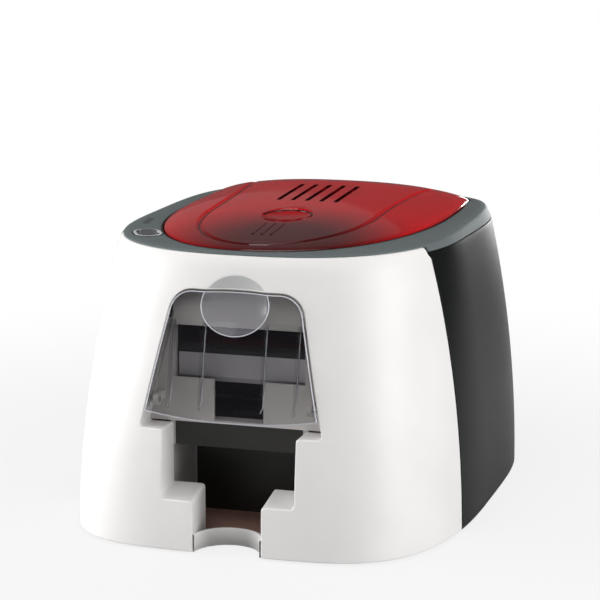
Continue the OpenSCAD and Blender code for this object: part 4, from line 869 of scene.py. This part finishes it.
# ---- Bezel ----
SHEET, RIM_FALL, RIM_FALL_W = BEZEL_T - 0.1, 1.2, 7.0
SWING_Y, TROUGH_Y = LID_REAR - 32, LID_REAR - 1.2
OPENING_DEPTH, TROUGH_DEPTH, BUTTON_DEPTH, EYE_DEPTH = 9.3, 21.8, 6.0, 3.0
LIP_W, EYE_COUNT, EYE_R, EYE_PITCH = 4.4, 3, 2.3, 8.0
SHOULDER_SPAN, SHOULDER_TOP, SHOULDER_END_R = SIDE_SPAN + REAR_HALF, RIM_Z + 0.45, 1.5


def section(z, inset, count=360):
    """Outline of the casing at a height, seen from above."""
    t = np.linspace(0, 2 * np.pi, count, endpoint=False)
    c, s = np.cos(t), np.sin(t)
    m = np.where(s < 0, front_square(z), REAR_SQUARE)
    n = np.where(s < 0, FRONT_ROUND, REAR_ROUND)
    reach = np.where(s < 0, front_reach(z), rear_reach(z)) - inset
    x = (half_w(z) - inset) * np.sign(c) * np.abs(c) ** (2 / m)
    return np.stack([x, reach * np.sign(s) * np.abs(s) ** (2 / n)], 1)


def rim_distance(x, y):
    """Distance from the rim's outline, near enough for a shallow fall."""
    m = np.where(y < 0, front_square(RIM_Z), REAR_SQUARE)
    n = np.where(y < 0, FRONT_ROUND, REAR_ROUND)
    a = float(half_w(RIM_Z))
    b = np.where(y < 0, front_reach(RIM_Z), rear_reach(RIM_Z))
    u, v = np.maximum(np.abs(x) / a, 1e-3), np.maximum(np.abs(y) / b, 1e-3)
    level = u ** m + v ** n
    slope = np.hypot(m * u ** (m - 1) / a, n * v ** (n - 1) / b)
    return np.maximum(1 - level, 0) / np.maximum(slope, 1e-4)


def bezel_place(uv, inset):
    x, y = uv[:, 0], uv[:, 1]
    near = 1 - np.clip(rim_distance(x, y) / RIM_FALL_W, 0, 1)
    return np.stack([x, y, RIM_Z + BEZEL_T - RIM_FALL * near ** 2 - inset], 1)


def trough_loop():
    """The bezel's opening: the lid's outline with a gap, and the trough behind it, clockwise."""
    half = LID_HALF + LID_GAP - TAIL_TAPER
    front = lid_outline(-LID_GAP, 200)
    right = front[(front[:, 1] < SWING_Y) & (front[:, 0] >= 0)]
    right = right[np.argsort(right[:, 1])]
    rear = section(RIM_Z, REAR_BORDER, 720)
    rear = rear[(np.abs(rear[:, 0]) < half) & (rear[:, 1] > SWING_Y)]
    rear = rear[np.argsort(-rear[:, 0])]
    side = [[half, v] for v in np.arange(SWING_Y + 1, rear[0][1] - 0.5, 2.0)]
    right = np.concatenate([right, side])
    loop = np.concatenate([right, rear, right[::-1] * [-1, 1]])
    return even_loop(tidy_loop(loop), 2.0)[::-1]


def strip_edges(y):
    """Inner and outer edge of the bezel's strip beside the lid."""
    reach = abs(y) / float(front_reach(RIM_Z))
    rim = float(half_w(RIM_Z)) * (1 - reach ** FRONT_ROUND) ** (1 / float(front_square(RIM_Z)))
    return float(lid_half_w(np.array(y))) + LID_GAP, rim


BUTTON_Y, EYE_Y = LID_FRONT * 0.64, LID_FRONT * 0.34
BUTTON_X = -(0.58 * strip_edges(BUTTON_Y)[0] + 0.42 * strip_edges(BUTTON_Y)[1])
BUTTON_TILT, BUTTON_STRETCH, RING_R, BUTTON_R = math.radians(28), 4.5, 9.4, 6.9


def oval(r, count=20):
    """Stadium round the button, clockwise."""
    t = np.linspace(0, np.pi, count)
    t = np.concatenate([t, t + np.pi])
    x = r * np.cos(t)
    y = r * np.sin(t) + np.repeat([BUTTON_STRETCH, -BUTTON_STRETCH], count)
    c, s = math.cos(BUTTON_TILT), math.sin(BUTTON_TILT)
    return np.stack([x * c - y * s + BUTTON_X, x * s + y * c + BUTTON_Y], 1)[::-1]


def eyes(r):
    """Outlines of the round status lamps beside the button."""
    places = [EYE_Y + EYE_PITCH * i for i in range(EYE_COUNT)]
    return [circle(-sum(strip_edges(y)) / 2, y, r, 24) for y in places]


def nose_line(inset, count, end):
    """The lid's outline in front of y = end, from its left end round the front to its right end."""
    line = lid_outline(inset, count)
    line = line[line[:, 1] < end]
    return line[np.argsort(np.arctan2(line[:, 0], -line[:, 1]))]


def make_bezel():
    piece = Piece("bezel_ring")
    opening = trough_loop()
    deep = np.where(opening[:, 1] > TROUGH_Y, TROUGH_DEPTH, OPENING_DEPTH)
    loops = [even_loop(section(RIM_Z, 0.3), 2.0), opening, oval(RING_R + 0.2)] + eyes(EYE_R)
    depths = [SHEET, deep, BUTTON_DEPTH] + [EYE_DEPTH] * EYE_COUNT
    points = grid((-120, -150), (120, 150), (4, 4))
    points = points[rim_distance(points[:, 0], points[:, 1]) > 9]
    near = [even_loop(section(RIM_Z, d), 2.5) for d in (1.6, 2.6, 3.8, 5.2, 7)]
    points = np.concatenate([points] + near)
    shell(piece, loops, bezel_place, SHEET, points, 0.7, 0.5, depths=depths)
    make_lip_ring(piece)
    make_trough(piece, opening)
    make_gap_shade()
    make_shoulder(piece)
    piece.build(MATERIALS["slate_trim"], "printer", ["top_bezel"])


def make_lip_ring(piece):
    """Lip under the lid's edge."""
    outer = nose_line(-LID_GAP - 0.8, 160, SWING_Y)
    inner = nose_line(LIP_W - LID_GAP, 160, SWING_Y)[::-1]
    loop = even_loop(np.concatenate([outer, inner]), 2.5)
    slab(piece, [loop], SKIRT_BOTTOM - 3, SKIRT_BOTTOM - 0.6)


def make_gap_shade():
    """Black lines of painted shade in the gaps round the lid, the button's ring, the button and the status
    lamps.
    """
    piece = Piece("bezel_gap_shade")
    lines = [
        (bezel_place, nose_line(-LID_GAP - 0.45, 200, SWING_Y - 2), 0.5, 0.85),
        (bezel_place, oval(RING_R + 0.5), 0.35, 0.7),
        (flat_place(RIM_Z + 1.9), oval(BUTTON_R), 0.0, 0.55),
    ]
    lines += [(bezel_place, eye, 0.3, 0.5) for eye in eyes(EYE_R + 0.1)]
    for place, line, inset, radius in lines:
        bead(piece, place(line, inset), radius)
    # black_inner is used here as painted shade in the gaps.
    piece.build(MATERIALS["black_inner"], "printer")


def make_trough(piece, opening):
    """Floor of the trough behind the lid."""
    rear = opening[::-1]
    rear = rear[rear[:, 1] > TROUGH_Y]
    rear = rear[np.argsort(-rear[:, 0])] * [1.004, 1.002]
    loop = np.concatenate([[[rear[0][0], TROUGH_Y]], rear, [[rear[-1][0], TROUGH_Y]]])
    slab(piece, [even_loop(loop, 2.5)], RIM_Z - 22, RIM_Z - 20)


def shoulder_place(uv, inset):
    """Surface of the casing from the left seam round the rear to the right seam."""
    run = SHOULDER_SPAN - np.abs(uv[:, 0])
    on_side = side_place(1)(np.stack([np.minimum(run, SIDE_SPAN), uv[:, 1]], 1), inset)
    past = np.maximum(run - SIDE_SPAN, 0)
    x = on_side[:, 0] - past * on_side[:, 0] / REAR_HALF
    y = np.where(past > 0, rear_y(x, uv[:, 1], inset), on_side[:, 1])
    return np.stack([np.where(uv[:, 0] > 0, -x, x), y, uv[:, 1]], 1)


def make_shoulder(piece):
    """Shoulder of the bezel over the side panels and the rear panel, from seam to seam."""
    span, top, r = SHOULDER_SPAN, SHOULDER_TOP, SHOULDER_END_R
    s = np.concatenate([np.arange(-span, span, 2.5), [span]])
    low = border_line(shoulder_place, s, SEAM_GAP / 2)
    rise = [(span, z) for z in np.linspace(low[0] + 0.5, top - 2.0, 3)]
    turn = [(span - r * (1 - math.sin(w)), top - r * (1 - math.cos(w))) for w in np.linspace(1.57, 0, 5)]
    right = np.array(rise + turn)
    inner = s[np.abs(s) < span - 2][::-1]
    loop = np.concatenate([
        np.stack([s, low], 1),
        right,
        np.stack([inner, np.full(len(inner), top)], 1),
        right[::-1] * [-1, 1]])
    points = grid((-span, RIM_Z - 12), (span, RIM_Z + 1), (3, 1.2))
    shell(piece, [loop], shoulder_place, WALL, points, 0.5, 0.45)


# ---- Lid ----
DISH_Y, DISH_HALF_W, DISH_HALF_D, DISH_DEPTH = -36.0, 18.5, 24.0, 5.0
SLOT_Y, SLOT_W, SLOT_PITCH, SLOT_COUNT = (12.0, 74.0), 3.4, 10.5, 5
GROOVE_HALF, GROOVE_FRONT, GROOVE_MID, GROOVE_END = 60.0, -118.0, -20.0, 112.0
GROOVE_DEPTH, GROOVE_W, GROOVE_STEP, GROOVE_FADE = 1.5, 1.9, 0.5, 12.0
DISH_RINGS = (0.2, 0.4, 0.55, 0.7, 0.8, 0.88, 0.94, 0.98, 1.02, 1.06, 1.1, 1.16)
RIM_RINGS = (0.15, 0.45, 0.9, 1.5, 2.3, 3.3, 4.6, 6.4, 9, 12)
GROOVE_LINES = (-3.4, -2.6, -2, -1.5, -1, 0, 1, 1.5, 2, 2.6, 3.4)
RED_END, RIB_PITCH = LID_Z - 1.3, 6.5


def groove_path():
    """Middle line of the horseshoe groove, from its left rear end round the front."""
    t = np.linspace(math.pi, 2 * math.pi, 90)
    nose = np.stack([GROOVE_HALF * np.cos(t), GROOVE_MID + (GROOVE_MID - GROOVE_FRONT) * np.sin(t)], 1)
    y = np.arange(GROOVE_MID + 3, GROOVE_END, 3)
    x = GROOVE_HALF + 10 * ((y - GROOVE_MID) / 130) ** 2
    right = np.stack([x, y], 1)
    return np.concatenate([right[::-1] * [-1, 1], nose, right])


GROOVE = groove_path()


def groove_distance(x, y):
    """Signed distance from the groove's middle line, negative inside the horseshoe."""
    best, side = np.full(x.shape, 1e6), np.ones(x.shape)
    for p, q in zip(GROOVE[:-1], GROOVE[1:]):
        d = q - p
        w = np.clip(((x - p[0]) * d[0] + (y - p[1]) * d[1]) / (d @ d), 0, 1)
        gx, gy = x - p[0] - w * d[0], y - p[1] - w * d[1]
        dist = np.hypot(gx, gy)
        closer = dist < best
        best = np.where(closer, dist, best)
        side = np.where(closer, np.where(d[0] * gy - d[1] * gx > 0, -1.0, 1.0), side)
    return best * side


def dish_ring(share, t):
    """Points (x, y) of the dish's outline, at a share of its size."""
    return np.stack([DISH_HALF_W * share * np.cos(t), DISH_Y + DISH_HALF_D * share * np.sin(t)], 1)


def dish_level(x, y):
    """0 in the middle of the dish and 1 on its outline."""
    return (x / DISH_HALF_W) ** 2 + ((y - DISH_Y) / DISH_HALF_D) ** 2


def lid_place(uv, inset):
    x, y = uv[:, 0], uv[:, 1]
    far = groove_distance(x, y)
    groove = GROOVE_DEPTH * np.exp(-(np.abs(far) / GROOVE_W) ** 4)
    step = GROOVE_STEP / (1 + np.exp(np.clip(far * 3, -40, 40)))
    z = lid_dome(x, y) - (groove + step) * np.clip((GROOVE_END - y) / GROOVE_FADE, 0, 1)
    q = 1 - dish_level(x, y)
    middle = lid_dome(np.zeros(1), np.full(1, DISH_Y))[0] + 1
    bowl = middle - DISH_DEPTH * np.sqrt(np.maximum(q, 0))
    dished = (z + bowl - np.sqrt((z - bowl) ** 2 + 0.25)) / 2
    return np.stack([x, y, np.where(q > -0.35, dished, z) - inset], 1)


def lid_slots():
    """Outlines of the vent slots."""
    middle, tall = (SLOT_Y[0] + SLOT_Y[1]) / 2, (SLOT_Y[1] - SLOT_Y[0]) / 2
    places = [(i - SLOT_COUNT // 2) * SLOT_PITCH for i in range(SLOT_COUNT)]
    return [resampled(oblong(x, middle, SLOT_W / 2, tall, 1.6, 5), 2.0) for x in places]


def lid_points(bowls):
    """Inner points of the lid, closer together at its edge, along the groove and in the dish."""
    points = grid((-98, -130), (98, 128), (4, 4))
    x, y = points[:, 0], points[:, 1]
    points = points[(np.abs(x) < lid_half_w(y, 14.0)) & (y < 113) & (y > -115) & (dish_level(x, y) > 1.7)]
    rims = [even_loop(lid_outline(d, 200), 2.4) for d in RIM_RINGS]
    ahead = unit(np.gradient(GROOVE, axis=0))
    across = np.stack([-ahead[:, 1], ahead[:, 0]], 1)
    lines = [GROOVE + across * d for d in GROOVE_LINES]
    return np.concatenate([far_from(points, GROOVE, 4.5)] + rims + lines + bowls)


def outward(loop):
    """Level normals that point out of the material."""
    return np.column_stack([-directions(loop), np.zeros(len(loop))])


def make_lid():
    piece = Piece("lid_cover")
    outline, inner = even_loop(lid_outline(0.02, 300), 1.8), even_loop(lid_outline(LID_T, 200), 2.4)
    slots = lid_slots()
    bowls = [dish_ring(share, np.linspace(0, 2 * np.pi, 64, endpoint=False)) for share in DISH_RINGS]
    uv, faces = triangulate([outline] + slots, lid_points(bowls), 0.06)
    piece.add(lid_place(uv, 0.0), normals_of(lid_place, uv, 0.0), faces)
    coarse = grid((-98, -130), (98, 128), (5, 5))
    uv, faces = triangulate([inner] + slots, np.concatenate([coarse] + bowls[::2]), 1.0)
    piece.add(lid_place(uv, LID_T), -normals_of(lid_place, uv, LID_T), faces)
    make_slot_walls(slots)
    make_lid_skirt(piece, outline)
    make_lid_ribs(piece)
    piece.build(MATERIALS["red_cover"], "lid", ["lid_shell"])


def make_slot_walls(slots):
    """Walls of the vent slots, dark red as painted shade in the slots."""
    piece = Piece("lid_slot_walls")
    for slot in slots:
        out = outward(slot)
        piece.strip([(lid_place(slot, 0.0), out), (lid_place(slot, LID_T), out)])
    piece.build(MATERIALS["red_painted_shade"], "lid")


def make_lid_skirt(piece, outline):
    """Side of the lid: a red edge, and below it a skirt that turns in at its foot, dark red as painted shade
    in the gap round the lid.
    """
    into, out = directions(outline), outward(outline)
    down = np.zeros(out.shape) + [0, 0, -1]

    def at(inset, z):
        return flat_place(z)(outline + into * inset, 0.0)

    low = SKIRT_BOTTOM
    piece.strip([(lid_place(outline, 0.0), out), (at(0, RED_END), out)])
    # The skirt's dark red is painted shade of the gap between the lid and the bezel.
    dark = Piece("lid_skirt")
    dark.strip([
        (at(0, RED_END), out),
        (at(0, low + 0.5), out),
        (at(0.15, low + 0.15), unit(out + down)),
        (at(0.5, low), down),
        (at(LID_T - 0.4, low), down)])
    dark.strip([(at(LID_T, low), -out), (at(LID_T, LID_Z - LID_T), -out)])
    dark.build(MATERIALS["red_painted_shade"], "lid")


def make_lid_ribs(piece):
    """Three short ribs before the dish."""
    t = np.linspace(0, math.pi, 7)
    no = np.stack([np.cos(t), np.zeros(7), np.sin(t)], 1)
    for x in (-RIB_PITCH, 0.0, RIB_PITCH):
        rows = []
        for y in np.linspace(-92, DISH_Y - 26, 14):
            base = float(lid_place(np.array([[x, y]]), 0.0)[0][2])
            co = np.stack([x + 0.9 * np.cos(t), np.full(7, y), base - 0.2 + 0.7 * np.sin(t)], 1)
            rows.append((co, no))
        piece.strip(rows, False)


def make_groove_shade():
    """Dark lines of painted shade along the bottom of the lid's groove, and of painted shadow along the rear
    rim of its dish.
    """
    piece = Piece("lid_groove_shade")
    bead(piece, lid_place(GROOVE[GROOVE[:, 1] < 104], 0.35), 0.6)
    rim = dish_ring(0.93, np.linspace(math.radians(5), math.radians(175), 40))
    bead(piece, lid_place(rim, 0.2), 0.9)
    piece.build(MATERIALS["red_painted_shade"], "lid")


# ---- Hopper flap ----
FLAP_RIBS, RIB_T = (21.0, 43.0), 1.6
flap_place = upright(lambda x, z, inset: front_y(x, z) - FLAP_PROUD + scoop_depth(x, z) + inset)


def flap_loop():
    """Outline of the flap, whose lower edge bows down."""
    high = FLAP_HALF - (FLAP_TOP - FLAP_Z) * FLAP_LEAN
    corners = [(x * FLAP_HALF, FLAP_Z - FLAP_DIP * (1 - x * x), 0) for x in np.linspace(-1, 1, 41)]
    corners += [(high, FLAP_TOP, SHOULDER_R), (-high, FLAP_TOP, SHOULDER_R)]
    return resampled(rounded(corners, 12), 2.0)


def make_flap():
    piece = Piece("flap_window")
    points = grid((-60, 86), (60, 172), (3.2, 3.2))
    share = np.hypot(points[:, 0] / SCOOP_HALF, (points[:, 1] - SCOOP_Z) / SCOOP_TALL)
    rings = [scoop_ring(size, 0, -np.pi, 60) for size in SCOOP_RINGS]
    points = np.concatenate([points[np.abs(share - 1) > 0.17]] + rings)
    shell(piece, [flap_loop()], flap_place, FLAP_T, points, 0.6, 0.8, 1, 4)
    for s in (1, -1):
        z = np.linspace(FLAP_Z + 2, FLAP_TOP - SHOULDER_R + 2, 30)
        x = s * (FLAP_HALF - FLAP_LEAN * (z - FLAP_Z) - 0.3)
        flange(piece, x, z, -s * (FLAP_T - 0.3), 8.0)
        z = np.linspace(FLAP_Z + 3, FLAP_Z + 59, 24)
        for rib in FLAP_RIBS:
            flange(piece, np.full(24, s * rib - RIB_T / 2), z, RIB_T, 7.6)
    piece.build(MATERIALS["smoke_clear"], "flap", ["hopper_flap"])


def bead(piece, path, radius, turns=6):
    """Fine round line along a path; it paints the highlight on an edge, and the shade in a gap or a groove.
    """
    ahead = unit(np.gradient(path, axis=0))
    up = unit(np.cross(ahead, np.where(np.abs(ahead[:, 1:2]) > 0.9, [1.0, 0, 0], [0, 1.0, 0])))
    side = np.cross(up, ahead)
    t = np.linspace(0, 2 * np.pi, turns, endpoint=False)[:, None]
    rows = []
    for p, a, b in zip(path, up, side):
        no = a * np.cos(t) + b * np.sin(t)
        rows.append((p + radius * no, no))
    piece.strip(rows)


def make_flap_highlights():
    """Painted highlights along the edges of the flap, of its half of the thumb scoop and of its ribs."""
    piece = Piece("flap_edge_highlights")
    loop = flap_loop()
    path = flap_place(loop + directions(loop) * 0.5, 0.45)
    bead(piece, np.concatenate([path, path[:2]]), 0.42)
    arc = scoop_ring(1.0, math.radians(-203), math.radians(23), 60)
    bead(piece, flap_place(arc, 0.3), 0.38)
    z = np.linspace(FLAP_Z + 4, FLAP_Z + 58, 20)
    for x in sorted([-rib for rib in FLAP_RIBS] + list(FLAP_RIBS)):
        line = flap_place(np.stack([np.full(20, x), z], 1), FLAP_T)
        line[1:-1, 1] = np.minimum(line[1:-1, 1] + 5.6, TUNNEL_Y - 1.0)
        bead(piece, line, 0.45)
    piece.build(MATERIALS["flap_painted_highlight"], "flap")


def make_flap_bowl():
    """Lower half of the thumb scoop, moulded in the flap, shown by a greyer sheet of painted shade."""
    heights = (SKIRT_Z, FLAP_TOP - 0.8)
    make_bowl("flap_scoop_shade", flap_place, heights, (143, 171), "bowl_painted_shade", "flap")


def flange(piece, x, z, width, depth):
    """Upright rib behind the flap's sheet, from x to x + width."""
    start = flap_place(np.stack([x, z], 1), FLAP_T - 0.4)[:, 1]
    ends = np.minimum(start + depth - 1.8, TUNNEL_Y - 0.9)
    low = np.minimum(np.linspace(0, 5, len(z)) ** 2 / 3, 1) ** 0.5
    ends = start + (ends - start) * np.maximum(low, 0.15)

    def ribbon(first, second, normal):
        rows = [(np.stack([*line, z], 1), np.zeros((len(z), 3)) + normal) for line in (first, second)]
        piece.strip(rows, False)

    out = np.sign(width)
    ribbon((x, start), (x, ends), [-out, 0, 0])
    ribbon((x + width, start), (x + width, ends), [out, 0, 0])
    ribbon((x, ends), (x + width, ends), [0, 1, 0])


# ---- Stage, light and camera, in metres ----
FLOOR_HALF, SHADE_NEAR, SHADE_FAR, SHADE_LEVEL, SOFT_LEVEL = 6.0, 0.2, 0.75, 0.82, 0.1
LAMP_TARGET, LID_TARGET = Vector((0, 0, 0.1)), Vector((0.0, -0.02, 0.2))
LAMPS = (
    ("lamp_key", (0.0, -1.15, 1.85), (1.4, 1.0), 14),
    ("lamp_top", (0.0, 0.1, 1.9), (1.2, 1.0), 10),
    ("lamp_left", (-1.75, -0.6, 0.4), (1.2, 0.9), 38),
    ("lamp_right", (1.76, -0.36, 0.45), (0.9, 0.9), 23),
    ("lamp_rim", (0.15, 1.94, 0.2), (0.6, 0.36), 7),
)
LID_LAMP_SIZE, LID_LAMP_AWAY, LID_LAMP_ENDS = (1.9, 1.5), 2.2, ((-27, 2), (-3, 25))
CAMERA_TARGET, CAMERA_FROM, CAMERA_AWAY = Vector((-0.0012, 0.0, 0.138)), (180 - 16.9, 11.46), 1.58
CAMERA_SENSOR, CAMERA_LENS = 36.0, 133.6


def mix_shaders(tree, share, first, second):
    return add(tree, "MixShader", {"Fac": share, 1: first, 2: second}).outputs["Shader"]


def make_floor():
    """Floor that shows a soft shadow to the camera near the printer and white farther away."""
    mesh = bpy.data.meshes.new("floor")
    half = FLOOR_HALF
    corners = [(-half, -half, 0), (half, -half, 0), (half, half, 0), (-half, half, 0)]
    mesh.from_pydata(corners, [], [(0, 1, 2, 3)])
    material, tree, shader = new_material("floor")
    grey = tinted(tree, noise(tree, 40), (0.55, 0.55, 0.55), 0.005)
    fill(tree, shader, {"Base Color": grey, "Roughness": 0.7})
    length = add(tree, "VectorMath", {0: object_place(tree)}, operation="LENGTH").outputs["Value"]
    away = ranged(tree, length, SHADE_NEAR, SHADE_FAR, SHADE_LEVEL, 1.0, "SMOOTHSTEP")
    seen = add(tree, "LightPath").outputs["Is Camera Ray"]
    share = add(tree, "Math", {0: seen, 1: away}, operation="MULTIPLY").outputs[0]
    glow = add(tree, "Emission", {"Strength": 1.0}).outputs["Emission"]
    surface = mix_shaders(tree, share, shader.outputs["BSDF"], glow)
    fill(tree, tree.nodes["Material Output"], {"Surface": surface})
    mesh.materials.append(material)
    floor = put_in_scene("floor", mesh)


def make_world():
    """Soft light from all round, which is white to the camera and through clear plastic."""
    world = bpy.data.worlds.new("studio")
    bpy.context.scene.world = world
    world.use_nodes = True
    tree = world.node_tree
    tree.nodes.clear()
    soft, white = [
        add(tree, "Background", {"Color": (1, 1, 1, 1), "Strength": level}).outputs["Background"]
        for level in (SOFT_LEVEL, 1.0)
    ]
    rays = add(tree, "LightPath").outputs
    inputs = {0: rays["Is Camera Ray"], 1: rays["Is Transmission Ray"]}
    seen = add(tree, "Math", inputs, operation="MAXIMUM").outputs[0]
    add(tree, "OutputWorld", {"Surface": mix_shaders(tree, seen, soft, white)})


def area_lamp(name, size, power):
    data = bpy.data.lights.new(name, "AREA")
    data.shape = "RECTANGLE"
    data.size, data.size_y = size
    data.energy = power
    return put_in_scene(name, data)


def aim(ahead):
    """Rotation of a lamp or a camera that looks along a direction."""
    return ahead.to_track_quat("-Z", "Y").to_euler()


def make_lights():
    for name, place, size, power in LAMPS:
        lamp = area_lamp(name, size, power)
        lamp.location = place
        lamp.rotation_euler = aim(LAMP_TARGET - Vector(place))
    make_lid_lamp()


def direction(azimuth, elevation):
    """Unit vector. The azimuth, in degrees, turns from the rear towards the right."""
    a, e = math.radians(azimuth), math.radians(elevation)
    return Vector((math.sin(a) * math.cos(e), math.cos(a) * math.cos(e), math.sin(e)))


def make_lid_lamp():
    """Soft box behind the lid whose slanted lower edge the lid reflects."""
    low, high = [LID_TARGET + direction(*end) * LID_LAMP_AWAY for end in LID_LAMP_ENDS]
    along = (high - low).normalized()
    face = ((low + high) / 2 - LID_TARGET).normalized()
    face = (face - along * face.dot(along)).normalized()
    rise = face.cross(along)
    rise = rise if rise.z > 0 else -rise
    lamp = area_lamp("lamp_lid", LID_LAMP_SIZE, 1.0)
    fade_lamp(lamp.data)
    turn = Matrix((rise.cross(face), rise, face)).transposed()
    middle = (low + high) / 2 + rise * LID_LAMP_SIZE[1] / 2
    lamp.matrix_world = Matrix.Translation(middle) @ turn.to_4x4()


def fade_lamp(data):
    """Lets a soft box fade towards its upper edge."""
    data.use_nodes = True
    tree = data.node_tree
    place = add(tree, "NewGeometry").outputs["Parametric"]
    height = add(tree, "SeparateXYZ", {0: place}).outputs["Y"]
    fill(tree, tree.nodes["Emission"], {"Strength": ranged(tree, height, 0.0, 0.6, 0.75, 0.07)})


def make_camera():
    back = direction(*CAMERA_FROM)
    data = bpy.data.cameras.new("camera")
    data.sensor_width, data.lens = CAMERA_SENSOR, CAMERA_LENS
    camera = put_in_scene("camera", data)
    camera.location = CAMERA_TARGET + back * CAMERA_AWAY
    camera.rotation_euler = aim(-back)
    bpy.context.scene.camera = camera


def dress_nodes():
    """Gives every CAD node the material of its slot."""
    for part in frame["record"]["subparts"]:
        node = frame["nodes"][part["node"]]
        for slot in node.material_slots:
            slot.material = NODE_MATERIALS.get(part["node"], MATERIALS[part["material_slot"]])


make_camera()
dress_nodes()
make_front_casing()
make_scoop_shade()
make_side(1, "casing_right", "right_side_panel")
make_side(-1, "casing_left", "left_side_panel")
make_rear()
make_bezel()
make_lid()
make_flap()
make_flap_highlights()
make_flap_bowl()
make_groove_shade()
make_floor()
make_world()
make_lights()
bpy.context.scene.view_settings.view_transform = "Standard"
